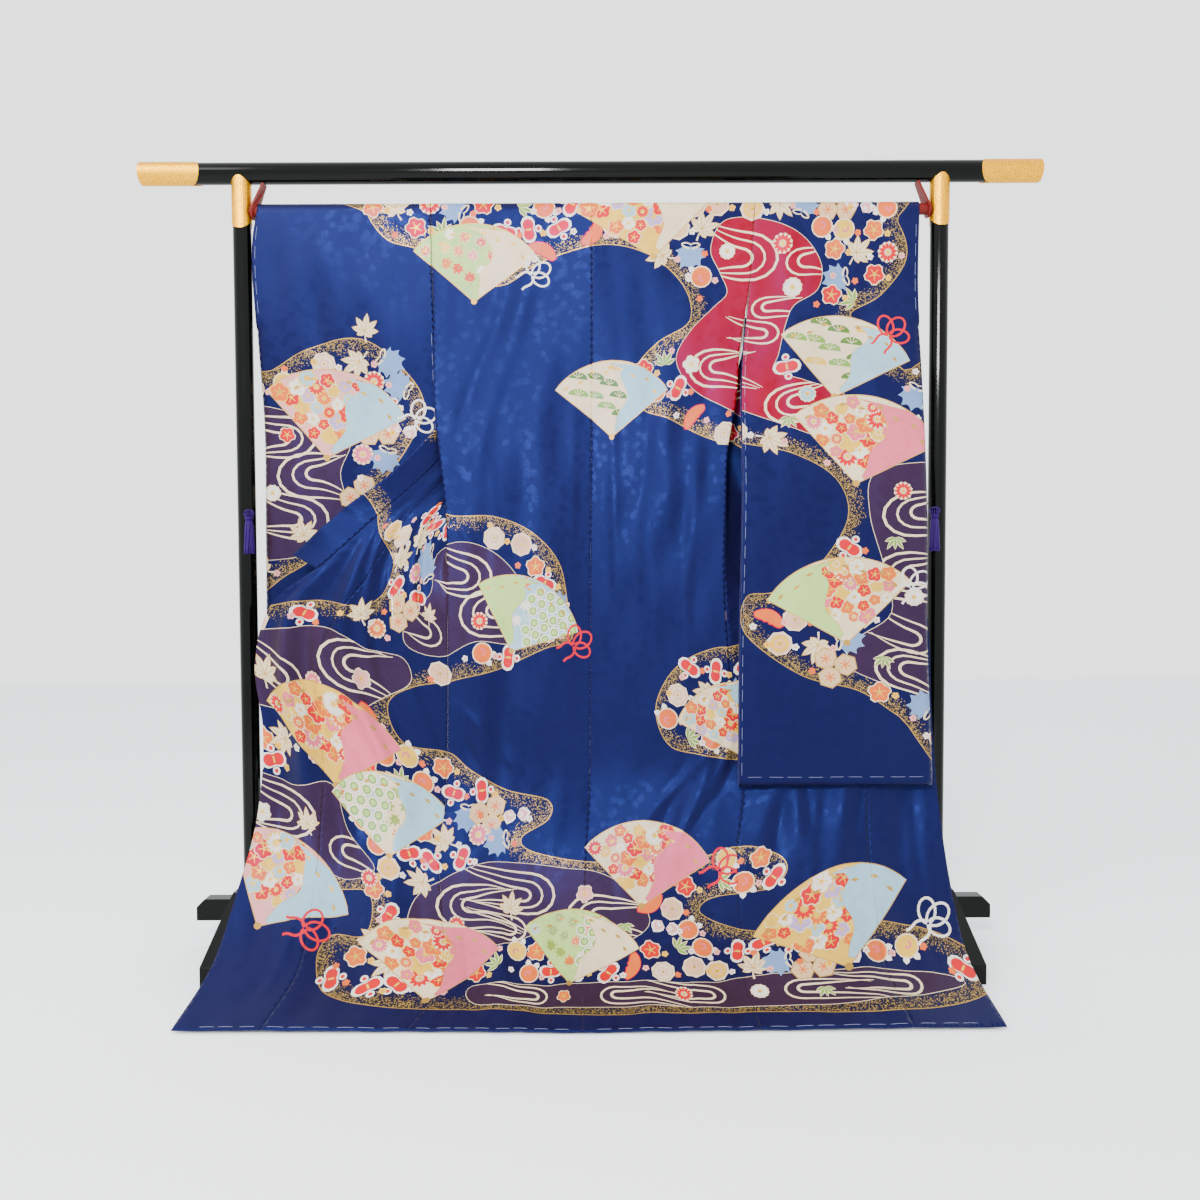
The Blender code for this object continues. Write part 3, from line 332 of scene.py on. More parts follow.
RIGHT_FRONT_FOLDS = (
    (0.16, 0.3, 0.98, 1.3, 0.06, 0.01),
    (0.34, 0.1, 1.0, 1.46, 0.06, -0.009),
    (0.62, 0.4, 1.02, 1.56, 0.07, 0.008),
    (0.86, 0.7, 1.16, 1.62, 0.07, -0.006),
    (0.5, 0.56, 1.4, 1.64, 0.06, 0.007),
    (0.06, 0.24, 1.0, 1.22, 0.022, 0.0044),
    (0.24, 0.4, 1.04, 1.34, 0.02, -0.003),
    (0.74, 0.56, 1.08, 1.44, 0.024, 0.0034),
    (0.4, 0.3, 1.2, 1.52, 0.018, 0.0026),
    (0.9, 0.84, 1.2, 1.6, 0.02, -0.0028),
    (0.14, 0.12, 1.34, 1.6, 0.02, 0.0026),
)
LEFT_SLEEVE_FOLDS = (
    (0.3, 0.22, 0.06, 0.6, 0.07, 0.002),
    (0.62, 0.7, 0.1, 0.9, 0.06, -0.0018),
    (0.85, 0.8, 0.3, 1.1, 0.04, 0.0016),
    (0.12, 0.16, 0.4, 1.1, 0.035, 0.0016),
    (0.46, 0.5, 0.7, 1.12, 0.05, 0.0018),
)
RIGHT_SLEEVE_FOLDS = (
    (0.2, 0.34, 0.04, 0.5, 0.06, 0.0022),
    (0.5, 0.42, 0.1, 0.84, 0.05, -0.0018),
    (0.78, 0.72, 0.16, 1.05, 0.06, 0.002),
    (0.08, 0.1, 0.5, 1.12, 0.03, 0.0014),
    (0.34, 0.3, 0.66, 1.12, 0.04, 0.0016),
    (0.92, 0.94, 0.4, 1.1, 0.03, -0.0012),
)
print("folds", sum(map(len, (LEFT_BACK_FOLDS, RIGHT_BACK_FOLDS, LEFT_FRONT_FOLDS, RIGHT_FRONT_FOLDS))))

# %% [markdown]
# ## From tables to surfaces
# The cloth of a front is spread between its two seams as a cubic curve at every height, so a few
# sizes give a whole flowing panel. Near the top all widths bend round the rod. Every surface is a
# grid of rows down the cloth and columns across it, worked out as one array.

# %% Curves through the tables
CLOTH_WALL = 1.6 * MM
RIPPLE = 0.7 * MM
# From the rod's face to the middle of the cloth, and to the middle of the collar's folded layers
CLOTH_LIE = 1.8 * MM
COLLAR_LIE = 2.3 * MM
DRAPE_RADIUS = ROD_RADIUS + CLOTH_LIE
COLLAR_RADIUS = ROD_RADIUS + COLLAR_LIE
# The tables start this far down the cloth, level with the middle of the rod
LEVEL_ROW = 0.02
BODY_WIDTH = 0.31
FRONT_WIDTH = 0.245
NECK_HALF = 0.090
OKUMI_WIDTH = ((0.22, 0.004), (0.50, 0.070), (0.83, 0.112), (1.66, 0.150))
OKUMI_TOP = 0.25
COLLAR_WIDTH = 0.055
COLLAR_END = 0.85
NECK_TURN = 0.05
NECK_DEPTH = 1.2 * MM
SEAM_GAP = 0.02 * MM
SIDE_GAP = 0.1 * MM
# Above the side seam, a front's side edge keeps at least this far from the middle of the back
STRAIGHT_SIDE = 0.306
ARMHOLE = 0.230
SIDE_SEAM_START = 0.37


def smooth_rows(table, at):
    """A table read at any distance: a cubic through its rows, with slopes taken from both neighbours."""
    rows = np.array(table, dtype=float)
    knots = rows[:, 0]
    values = rows[:, 1:]
    slopes = np.gradient(values, knots, axis=0)
    at = np.clip(np.asarray(at, dtype=float), knots[0], knots[-1])
    i = np.clip(np.searchsorted(knots, at, side="right") - 1, 0, len(knots) - 2)
    span = (knots[i + 1] - knots[i])[:, None]
    u = ((at - knots[i]) / (knots[i + 1] - knots[i]))[:, None]
    return ((2 * u ** 3 - 3 * u ** 2 + 1) * values[i] + (u ** 3 - 2 * u ** 2 + u) * span * slopes[i]
            + (3 * u ** 2 - 2 * u ** 3) * values[i + 1] + (u ** 3 - u ** 2) * span * slopes[i + 1])


def zipped(*arrays):
    """Arrays side by side, as the columns of one array."""
    return np.stack(arrays, axis=1)


def unit(vectors):
    """Vectors divided by their length."""
    return vectors / (np.linalg.norm(vectors, axis=-1, keepdims=True) + 1e-12)


def grid_normals(points, s):
    """Unit normals of a grid: the cross product of its slopes along its rows and down its columns."""
    return unit(np.cross(np.gradient(points, axis=1), np.gradient(points, s, axis=0)))


def fold_height(table, s, t):
    """The height of all the folds on a soft ripple.

    A fold adds rise * sin(pi * run) ** 0.8 * exp(-((t - middle) / width) ** 2). The ripple is three
    crossing waves; it fades at the seams, so that neighbours still meet.
    """
    waves = np.sin(21 * s + 9 * t) + np.sin(33 * s - 15 * t + 1.3) + 0.6 * np.sin(12 * s + 31 * t + 0.4)
    height = RIPPLE * waves * np.minimum(1.0, 6 * t * (1 - t)) * np.minimum(1.0, 8 * s)
    for top, foot, start, end, width, rise in table:
        run = np.clip((s - start) / (end - start), 0.0, 1.0)
        middle = top + (foot - top) * run
        height += rise * np.sin(math.pi * run) ** 0.8 * np.exp(-(((t - middle) / width) ** 2))
    return height


def wrapped(points, normals, s, face):
    """Rows on the rod: y = radius * sin(s / radius), z = rod + radius * cos(s / radius)."""
    on_rod = s < DRAPE_RADIUS * math.pi / 2
    angle = s[on_rod] / DRAPE_RADIUS
    points[on_rod, :, 1] = (face * DRAPE_RADIUS * np.sin(angle))[:, None]
    points[on_rod, :, 2] = (ROD_Z + DRAPE_RADIUS * np.cos(angle))[:, None]
    normals[on_rod] = zipped(0 * angle, face * np.sin(angle), np.cos(angle))[:, None, :]
    return points, normals


def draped(points, height, s, side, face):
    """A grid with its folds raised along its outward normals; face is -1 for the side near the viewer."""
    turned = -face * side
    points = points + turned * grid_normals(points, s) * height[:, :, None]
    return wrapped(points, turned * grid_normals(points, s), s, face)

# %% Fine rows for every grid
ROD_ARC = DRAPE_RADIUS * math.pi / 2
ROD_ROWS = 7
FIRST_ROW = 0.025
ROW_STEP = 5 * MM
FINE_ROWS = np.concatenate([np.linspace(0.0, ROD_ARC, ROD_ROWS),
                            np.arange(FIRST_ROW, HEM - MM, ROW_STEP), [HEM]])
FINE_COLUMNS = 128
SHARES = np.linspace(0.0, 1.0, FINE_COLUMNS + 1)
print("rows", len(FINE_ROWS), "columns", len(SHARES))

# %% The back widths
# Under the armhole each back width stands out a little over the free edge of its sleeve
FLARE = 5 * MM
FLARE_DOWN = 0.40
FLARE_REACH = 0.11


def back_grid(side_table, fold_table):
    """A back width: straight thread lines from the side seam (0) to the centre seam (1), with its folds."""
    outward = np.sign(side_table[0][1])
    side = smooth_rows(side_table, FINE_ROWS)
    side[:, 0] += outward * FLARE * np.exp(-((FINE_ROWS - FLARE_DOWN) / FLARE_REACH) ** 2)
    middle = smooth_rows(CENTRE_SEAM, FINE_ROWS)
    middle[:, 0] += outward * SEAM_GAP / 2
    grid = side[:, None, :] * (1 - SHARES)[None, :, None] + middle[:, None, :] * SHARES[None, :, None]
    s, t = np.meshgrid(FINE_ROWS, SHARES, indexing="ij")
    return draped(grid, fold_height(fold_table, s, t), FINE_ROWS, outward, -1)

# %% The fronts
# Two widths count as one flat run from this cosine between them, and fully so at the ramp's end
FLAT_FROM = 0.4
FLAT_RAMP = 0.2


def spread(start, lead_out, lead_in, end):
    """Sections (1-u)^3 a + 3(1-u)^2 u b + 3(1-u) u^2 c + u^3 d from a to d.

    b and c are the two ends moved by their leads.
    """
    u = SHARES[None, :, None]
    a = start[:, None, :]
    b = a + lead_out[:, None, :]
    d = end[:, None, :]
    c = d + lead_in[:, None, :]
    return (1 - u) ** 3 * a + 3 * (1 - u) ** 2 * u * b + 3 * (1 - u) * u ** 2 * c + u ** 3 * d


def facing_alike(cosine):
    """1 where two widths meet nearly flat, 0 where one is folded back: a ramp on the cosine between them."""
    return np.clip((cosine - FLAT_FROM) / FLAT_RAMP, 0, 1)


def front_ends(side_table, front_table, s):
    """Side edge, front edge and leads.

    From the rod's far side the side edge goes over to the back's seam by the smooth step 3 b^2 - 2 b^3.
    Where the two widths are folded on each other, it also keeps clear of the back's face.
    """
    values = smooth_rows(front_table, s)
    edge, lead_out, lead_in = values[:, 0:3], values[:, 3:6], values[:, 6:9]
    back_edge = smooth_rows(side_table, s)
    behind = back_edge.copy()
    behind[:, 1] = DRAPE_RADIUS
    outward = np.sign(side_table[0][1])
    behind[:, 0] = outward * np.maximum(abs(back_edge[:, 0]), STRAIGHT_SIDE)
    blend = np.clip((s - ARMHOLE) / (SIDE_SEAM_START - ARMHOLE), 0.0, 1.0)[:, None]
    blend = blend * blend * (3 - 2 * blend)
    side = behind * (1 - blend) + back_edge * blend
    open_out = unit(lead_out)[:, 0] * outward
    clear = np.zeros_like(side)
    lean = np.sqrt(np.clip(1 - open_out ** 2, 0, 1))
    butted = facing_alike(open_out)
    aside = SIDE_GAP * np.clip(open_out, 0, 1) + (CLOTH_WALL / 2 + SIDE_GAP) * lean * (1 - butted)
    clear[:, 0] = outward * aside
    clear[:, 1] = (CLOTH_WALL + 2 * SIDE_GAP) * (1 - open_out) / 2 * (1 - butted)
    return side + clear * blend, edge, lead_out, lead_in


def evened(grid, normals):
    """The same sections with their points moved to equal shares of the cloth's length."""
    steps = np.linalg.norm(np.diff(grid, axis=1), axis=2)
    length = np.concatenate([np.zeros((len(grid), 1)), np.cumsum(steps, axis=1)], axis=1)
    share = length / length[:, -1:]
    for values in (grid, normals):
        rows = [np.stack([np.interp(SHARES, share[r], values[r, :, axis]) for axis in range(3)], axis=1)
                for r in range(len(values))]
        values[:] = np.array(rows)
    return grid, unit(normals)


def front_grid(side_table, front_table, fold_table):
    """A whole front, body width and overlap together, as points and outward normals."""
    side, edge, lead_out, lead_in = front_ends(side_table, front_table, FINE_ROWS)
    grid = spread(side, lead_out, lead_in, edge)
    steps = np.linalg.norm(np.diff(grid, axis=1), axis=2)
    length = np.concatenate([np.zeros((len(grid), 1)), np.cumsum(steps, axis=1)], axis=1)
    share = length / length[:, -1:]
    height = fold_height(fold_table, FINE_ROWS[:, None] + 0 * share, share)
    points, normals = draped(grid, height, FINE_ROWS, np.sign(side_table[0][1]), 1)
    return evened(points, normals)


BACKS = {-1: back_grid(LEFT_SIDE, LEFT_BACK_FOLDS), 1: back_grid(RIGHT_SIDE, RIGHT_BACK_FOLDS)}
FRONTS = {-1: front_grid(LEFT_SIDE, LEFT_FRONT, LEFT_FRONT_FOLDS),
          1: front_grid(RIGHT_SIDE, RIGHT_FRONT, RIGHT_FRONT_FOLDS)}
# Normals are shared over this part of a width beside its centre seam and beside its side seam
CENTRE_SHARE = 0.1
SIDE_SHARE = 0.08
SHARE_START = 0.05
# Both back widths take one normal along the centre seam, so that their faces meet there
shared = unit(BACKS[-1][1][:, -1] + BACKS[1][1][:, -1])
for points, normals in BACKS.values():
    nearness = np.clip((SHARES - (1 - CENTRE_SHARE)) / CENTRE_SHARE, 0, 1)[None, :, None]
    normals[:] = unit(normals * (1 - nearness) + shared[:, None, :] * nearness)
# So do a back and its front along the side seam, wherever they are not folded on each other
for side in (-1, 1):
    edges = [grids[side][1][:, 0] for grids in (BACKS, FRONTS)]
    shared = unit(edges[0] + edges[1])
    sewn = np.clip((FINE_ROWS - SIDE_SEAM_START) / SHARE_START, 0, 1)
    sewn = sewn * facing_alike(np.sum(edges[0] * edges[1], axis=1))
    nearness = sewn[:, None, None] * np.clip(1 - SHARES / SIDE_SHARE, 0, 1)[None, :, None]
    for grids in (BACKS, FRONTS):
        normals = grids[side][1]
        normals[:] = unit(normals * (1 - nearness) + shared[:, None, :] * nearness)
print("backs and fronts laid out")

# %% [markdown]
# ## Sleeves and collar
# A sleeve is one width folded over the shoulder, so it hangs as two layers that meet at the foot
# and the outer edge. It could be one tube, but the two layers carry different parts of the
# pattern, so each is worked out alone and both are sewn into one flat width later. The collar is
# one band: two legs that follow the fronts' edges, and a stretch bent over the rod between them.

# %% The sleeves
SLEEVE_WIDTH = 0.335
SLEEVE_FOOT = 1.146
CUFF = 0.230
SLEEVE_EDGE_TURN = 11 * MM
SLEEVE_FOOT_TURN = 0.012
SLEEVE_EASE = 2 * MM
CUFF_FADE = 0.02
# Rows and columns draw together towards the foot and the outer edge, where the layers turn
EDGE_FROM = 0.96
EDGE_BAND = 0.04
TURN_STEPS = np.sin(np.linspace(0.1, 1, 7) * math.pi / 2)
EDGE_STEPS = np.sin(np.linspace(0.12, 1, 8) * math.pi / 2)
SLEEVE_ROWS = np.concatenate([np.linspace(0.0, ROD_ARC, ROD_ROWS),
                              np.arange(FIRST_ROW, SLEEVE_FOOT - SLEEVE_FOOT_TURN - MM, ROW_STEP),
                              SLEEVE_FOOT - SLEEVE_FOOT_TURN * (1 - TURN_STEPS)])
SLEEVE_SHARES = np.concatenate([np.linspace(0, EDGE_FROM, 61), EDGE_FROM + EDGE_BAND * EDGE_STEPS])


def sleeve_grid(table, folds, face):
    """One layer of a sleeve, flat but for its folds.

    The two layers meet in a rounded turn at the foot and, below the cuff, at the edge: half the space
    between them is half * sqrt((1 - foot_turn ** 2) * (1 - edge_turn ** 2)).
    """
    outward = np.sign(table[0][1])
    inner, outer, middle, half = smooth_rows(table, SLEEVE_ROWS).T
    s, t = np.meshgrid(SLEEVE_ROWS, SLEEVE_SHARES, indexing="ij")
    x = (inner + outward * 2 * SEAM_GAP)[:, None] * (1 - t) + (outer + outward * SLEEVE_EASE)[:, None] * t
    foot_turn = np.clip((s - (SLEEVE_FOOT - SLEEVE_FOOT_TURN)) / SLEEVE_FOOT_TURN, 0, 1)
    below_cuff = np.clip((s - CUFF) / CUFF_FADE, 0, 1)
    edge_turn = np.clip(1 - (1 - t) * SLEEVE_WIDTH / SLEEVE_EDGE_TURN, 0, 1) * below_cuff
    open_half = half[:, None] * np.sqrt((1 - foot_turn ** 2) * (1 - edge_turn ** 2))
    y = middle[:, None] + face * np.maximum(open_half, CLOTH_WALL / 2 + SEAM_GAP / 2)
    y += face * fold_height(folds, s, t) * (1 - foot_turn) * (1 - edge_turn)
    points = np.stack([x, y, ROD_Z + LEVEL_ROW - s], axis=2)
    normals = face * outward * grid_normals(points, SLEEVE_ROWS)
    return wrapped(points, normals, SLEEVE_ROWS, face)


SLEEVE_TABLES = {-1: (LEFT_SLEEVE, LEFT_SLEEVE_FOLDS), 1: (RIGHT_SLEEVE, RIGHT_SLEEVE_FOLDS)}
SLEEVES = {(side, face): sleeve_grid(*SLEEVE_TABLES[side], face) for face in (-1, 1) for side in (-1, 1)}
print("sleeve layers", len(SLEEVES))

# %% The collar
def collar_leg(side):
    """Down one front: a band that goes on past the front edge, in the panel's own direction."""
    grid, normals = FRONTS[side]
    rows = (FINE_ROWS > NECK_TURN - 1e-6) & (FINE_ROWS <= COLLAR_END + 1e-6)
    grid, normals = grid[rows], normals[rows]
    way = unit(grid[:, -1] - grid[:, -4])
    reach = SEAM_GAP + COLLAR_WIDTH * COLLAR_SHARES
    points = grid[:, -1][:, None, :] + way[:, None, :] * reach[None, :, None]
    facing = grid_normals(points, FINE_ROWS[rows])
    edge = normals[:, -1]
    facing *= np.sign(np.sum(facing[:, 0] * edge, axis=1))[:, None, None]
    fade = COLLAR_SHARES[None, :, None]
    return points, unit(facing * fade + edge[:, None, :] * (1 - fade))


COLLAR_SHARES = np.linspace(0.0, 1.0, 12)
NECK_ROWS = 30


def collar_neck():
    """Round the back of the neck: laid flat between its sewn and free edges, then bent over the rod.

    Each corner holds x and the distance down, first of the sewn edge and then of the free edge.
    """
    low = NECK_DEPTH
    out = NECK_HALF - SEAM_GAP
    corners = np.array([(out, COLLAR_RADIUS * math.pi / 2, 0.0440, 0.066), (out, 0.013, 0.0430, 0.0625),
                        (out, 0.0065, 0.042, 0.06), (out - 0.001, low, 0.04, low + COLLAR_WIDTH),
                        (0.055, low, 0.026, low + COLLAR_WIDTH), (0.02, low, 0.01, low + COLLAR_WIDTH)])
    rows = np.concatenate([corners * np.array([-1, 1, -1, 1]), corners[::-1]])
    at = np.linspace(0, len(rows) - 1, NECK_ROWS)
    rows = np.stack([np.interp(at, np.arange(len(rows)), rows[:, i]) for i in range(4)], axis=1)
    x = rows[:, 0:1] * (1 - COLLAR_SHARES) + rows[:, 2:3] * COLLAR_SHARES
    s = rows[:, 1:2] * (1 - COLLAR_SHARES) + rows[:, 3:4] * COLLAR_SHARES
    angle = np.minimum(s / COLLAR_RADIUS, math.pi / 2)
    over = s < COLLAR_RADIUS * math.pi / 2
    y = COLLAR_RADIUS * np.sin(angle)
    z = np.where(over, ROD_Z + COLLAR_RADIUS * np.cos(angle), ROD_Z + COLLAR_RADIUS * math.pi / 2 - s)
    return np.stack([x, y, z], axis=2), np.stack([0 * x, np.sin(angle), np.cos(angle)], axis=2)


legs = {side: collar_leg(side) for side in (-1, 1)}
neck = collar_neck()
COLLAR = [np.concatenate([legs[-1][i][::-1], neck[i], legs[1][i]]) for i in (0, 1)]
print("collar rows", len(COLLAR[0]))

# %% [markdown]
# ## One mesh for cloth and pattern
# The pattern is dyed into the cloth, so its edges lie in the cloth's own surface. Each width is
# laid flat, all its dyed shapes are drawn on it as outlines, and one triangulation joins them
# with an even net of points. Each triangle takes the colour of the topmost shape over it, and
# then the flat net is lifted to where the cloth hangs. Edges stay crisp at any distance.

# %% Sample a hanging grid at flat places
def at_grid(grid, rows, columns, s, t):
    """Points and normals of a grid at any s and t, by mixing the four grid points round each place."""
    points, normals = grid
    i = np.clip(np.searchsorted(rows, s, side="right") - 1, 0, len(rows) - 2)
    j = np.clip(np.searchsorted(columns, t, side="right") - 1, 0, len(columns) - 2)
    v = np.clip((s - rows[i]) / (rows[i + 1] - rows[i]), 0, 1)[:, None]
    u = np.clip((t - columns[j]) / (columns[j + 1] - columns[j]), 0, 1)[:, None]
    mixed = [g[i, j] * (1 - v) * (1 - u) + g[i, j + 1] * (1 - v) * u + g[i + 1, j] * v * (1 - u)
             + g[i + 1, j + 1] * v * u for g in (points, normals)]
    return mixed[0], unit(mixed[1])


def okumi_width(s):
    """The overlap's width at a distance below the shoulder."""
    table = np.array(OKUMI_WIDTH)
    return np.where(s < OKUMI_WIDTH[0][0], 0.0, np.interp(s, table[:, 0], table[:, 1]))

# %% Triangulate a flat width with its shapes
OUTLINE_STEP = 7 * MM
NET_SPACING = 8.4 * MM
# The lining has no pattern, so its net is this much wider
LINING_SPACING = 1.5
# A triangle over this area, in square metres, is never left out of a net
LEAST_AREA = 1e-8


def outline_steps(corners, step):
    """A closed outline with a point at least every step along each side."""
    points = []
    for start, end in zip(corners, corners[1:] + corners[:1]):
        start, end = np.array(start), np.array(end)
        count = max(1, int(np.ceil(np.linalg.norm(end - start) / step)))
        points += [start + (end - start) * i / count for i in range(count)]
    return np.array(points)


def wound(outline):
    """An outline in the order that gives it a positive area."""
    x, y = outline.T
    return outline if np.sum(x * np.roll(y, -1) - np.roll(x, -1) * y) > 0 else outline[::-1]


def inside(points, outline):
    """True where a point lies in an outline: a ray to the right crosses it an odd number of times."""
    x, y = points[:, 0], points[:, 1]
    crossings = np.zeros(len(points), dtype=int)
    for a, b in zip(outline, np.roll(outline, -1, axis=0)):
        spans = (a[1] > y) != (b[1] > y)
        if a[1] != b[1]:
            crossings += spans & (x < a[0] + (y - a[1]) * (b[0] - a[0]) / (b[1] - a[1]))
    return crossings % 2 == 1


def flat_net(outline, shapes, spacing):
    """The flat triangles inside an outline: places, triangles, and the shapes over each triangle.

    A thin triangle that was left without its shapes takes those of the nearest other one.
    """
    low, high = outline.min(axis=0), outline.max(axis=0)
    columns = np.arange(low[0] + spacing / 2, high[0], spacing)
    rows = np.arange(low[1] + spacing / 2, high[1], spacing * 0.866)
    x, y = np.meshgrid(columns, rows)
    x = x + np.where(np.arange(len(rows)) % 2, 0.25, -0.25)[:, None] * spacing
    net = zipped(x.ravel(), y.ravel())
    net = net[inside(net, outline)]
    places = list(outline)
    faces = [list(range(len(outline)))]
    for shape in shapes:
        shape = wound(shape)
        faces.append(list(range(len(places), len(places) + len(shape))))
        places += list(shape)
    places += list(net)
    found = delaunay_2d_cdt([Vector(place) for place in places], [], faces, 0, 1e-6, True)
    flat = np.array([tuple(place) for place in found[0]])
    triangles, covers = np.array(found[2]), list(found[5])
    kept = np.array([0 in over for over in covers])
    a, b, c = (flat[triangles[:, i]] for i in range(3))
    area = abs((b[:, 0] - a[:, 0]) * (c[:, 1] - a[:, 1]) - (c[:, 0] - a[:, 0]) * (b[:, 1] - a[:, 1])) / 2
    middles = (a + b + c) / 3
    for face in np.flatnonzero(~kept & (area > LEAST_AREA) & inside(middles, outline)):
        nearest = np.argmin(np.where(kept, np.linalg.norm(middles - middles[face], axis=1), 9.0))
        covers[face] = covers[nearest]
        kept[face] = True
    used, triangles = np.unique(triangles[kept], return_inverse=True)
    return flat[used], triangles.reshape(-1, 3), [over for over, keep in zip(covers, kept) if keep]

# %% Lift a flat width to its hanging form
def edge_loop(triangles):
    """The open edge of a net, in order: every side of a triangle that has no partner, end to start."""
    sides = np.concatenate([triangles[:, [0, 1]], triangles[:, [1, 2]], triangles[:, [2, 0]]])
    forward_sides = set(map(tuple, sides.tolist()))
    after = {a: b for a, b in forward_sides if (b, a) not in forward_sides}
    start = next(iter(sorted(after)))
    loop = [start]
    while after[loop[-1]] != start:
        loop.append(after[loop[-1]])
    return np.array(loop)


def face_crosses(points, triangles):
    """The cross product of two sides of each triangle, both from its first corner."""
    a, b, c = (points[triangles[:, i]] for i in range(3))
    return np.cross(b - a, c - a)


def lay_cloth(name, outline, lift, shapes, facings, rim_colour, wall=CLOTH_WALL):
    """A width of cloth as one closed shell: the dyed face, the lining's face and the narrow edge between.

    outline is the flat width. lift(flat) gives places and outward normals. shapes holds outlines
    on the flat width with their colours. facings are the parts of the lining cut from blue silk.
    """
    flat, triangles, covers = flat_net(outline, [shape[0] for shape in shapes], NET_SPACING)
    backward = face_crosses(flat, triangles) < 0
    triangles[backward] = triangles[backward][:, ::-1]
    loop = edge_loop(triangles)
    back_flat, lining, faced = flat_net(flat[loop], facings, NET_SPACING * LINING_SPACING)
    points, normals = lift(flat)
    back_points, back_normals = lift(back_flat)
    found = {tuple(np.round(place, 7)): i for i, place in enumerate(back_flat)}
    partner = np.array([found[tuple(np.round(flat[i], 7))] for i in loop])
    outer = points + normals * wall / 2
    inner = back_points - back_normals * wall / 2
    count = len(outer)
    if np.sum(face_crosses(outer, triangles) * normals[triangles[:, 0]]) < 0:
        triangles = triangles[:, ::-1]
        loop = loop[::-1]
        partner = partner[::-1]
    if np.sum(face_crosses(inner, lining) * back_normals[lining[:, 0]]) > 0:
        lining = lining[:, ::-1]
    nearer, further = loop, np.roll(loop, -1)
    under, under_next = partner + count, np.roll(partner, -1) + count
    rim = np.concatenate([zipped(nearer, under, further),
                          zipped(further, under, under_next)])
    faces = np.concatenate([triangles, lining + count, rim])
    return finish_cloth(name, np.concatenate([outer, inner]), faces, np.concatenate([flat, back_flat]),
                        face_colours(flat, triangles, covers, shapes),
                        np.array([GROUND if len(over) > 1 else LINING for over in faced]),
                        np.tile(np.array(rim_colour), (len(nearer), 1)))


# Gold dust thins out from a cloud's line inwards and ends at this many times DUST_EDGE from it
DUST_END = 1.25


def face_colours(flat, triangles, covers, shapes):
    """Each triangle's colour and finish: those of the topmost shape over it whose ground also covers it."""
    tint = np.tile(np.array((*GROUND, 1.0)), (len(triangles), 1))
    finish = np.zeros((len(triangles), 3, 4))
    top = np.zeros(len(triangles), dtype=int)
    for face, over in enumerate(covers):
        for number in sorted(over, reverse=True):
            if number == 0:
                break
            _, colour, gilt, _, ground = shapes[number - 1]
            if ground is None or ground + 1 in over:
                top[face] = number
                tint[face, :3] = colour
                finish[face, :, 0] = gilt
                break
    for number in np.unique(top[top > 0]):
        if shapes[number - 1][3]:
            corners = triangles[top == number]
            away = edge_distance(flat[corners.ravel()], shapes[number - 1][0]).reshape(-1, 3)
            finish[top == number, :, 1] = np.clip(DUST_END - away / DUST_EDGE, 0, 1)
    return tint, finish


def edge_distance(points, outline):
    """The distance from each point to an outline: the least over its sides, measured square to each side."""
    nearest = np.full(len(points), 1.0)
    for a, b in zip(outline, np.roll(outline, -1, axis=0)):
        side = b - a
        share = np.clip((points - a) @ side / max(float(side @ side), 1e-12), 0, 1)[:, None]
        nearest = np.minimum(nearest, np.linalg.norm(points - a - share * side, axis=1))
    return nearest


def finish_cloth(name, points, faces, flat, dyed, lining, rim):
    """Puts the arrays of one cloth piece into a mesh with its flat map, its colours and its finishes."""
    points = points + np.array((0.0, POST_Y, 0.0))
    mesh = bpy.data.meshes.new(name)
    mesh.vertices.add(len(points))
    mesh.vertices.foreach_set("co", points.ravel())
    mesh.loops.add(faces.size)
    mesh.loops.foreach_set("vertex_index", faces.ravel())
    mesh.polygons.add(len(faces))
    mesh.polygons.foreach_set("loop_start", np.arange(len(faces)) * 3)
    mesh.polygons.foreach_set("loop_total", np.full(len(faces), 3))
    mesh.update(calc_edges=True)
    tint, finish = dyed
    plain = np.concatenate([lining, rim, rim])
    tint = np.concatenate([tint, np.column_stack([plain, np.ones(len(plain))])])
    finish = np.concatenate([finish, np.zeros((len(plain), 3, 4))])
    for key, values in (("dye", np.repeat(tint, 3, axis=0)), ("finish", finish)):
        layer = mesh.color_attributes.new(key, "FLOAT_COLOR", "CORNER")
        layer.data.foreach_set("color", values.ravel())
    layer = mesh.uv_layers.new(name="flat_cloth")
    layer.uv.foreach_set("vector", flat[faces.ravel()].ravel())
    mesh.shade_smooth()
    item = placed(name, mesh)
    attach(item, "root")
    print(name, len(points), "points", len(faces), "triangles")
    return item

# %% Ground colours
GROUND = linear("#0E0C29")
LINING = linear("#EFE8DC")
PIPING = linear("#6E6C96")
print("ground", tuple(round(v, 3) for v in GROUND))

# %% Flat outlines and lifts of each width
SHOULDER_HALF = abs(LEFT_SIDE[0][1])
NECK_SHARE = (SHOULDER_HALF - NECK_HALF) / (SHOULDER_HALF + CENTRE_SEAM[0][1])
FRONT_ACROSS = NECK_SHARE * BODY_WIDTH


def front_places(side, across, s):
    """A front grid at a real distance across from the side seam."""
    share = across / (FRONT_WIDTH + okumi_width(s))
    return at_grid(FRONTS[side], FINE_ROWS, SHARES, s, share)


def lift_body(side):
    """Flat places of a body width: the back has negative distances down, the front positive ones."""
    def lift(flat):
        across, down = flat.T
        back = down < 0
        points, normals = np.empty((len(flat), 3)), np.empty((len(flat), 3))
        points[back], normals[back] = at_grid(BACKS[side], FINE_ROWS, SHARES, -down[back],
                                              across[back] / BODY_WIDTH)
        seam = np.where(down[~back] > OKUMI_TOP, SEAM_GAP / 2, 0)
        wide = np.minimum(across[~back] / FRONT_ACROSS * FRONT_WIDTH, FRONT_WIDTH - seam)
        points[~back], normals[~back] = front_places(side, wide, down[~back])
        return points, normals
    return lift


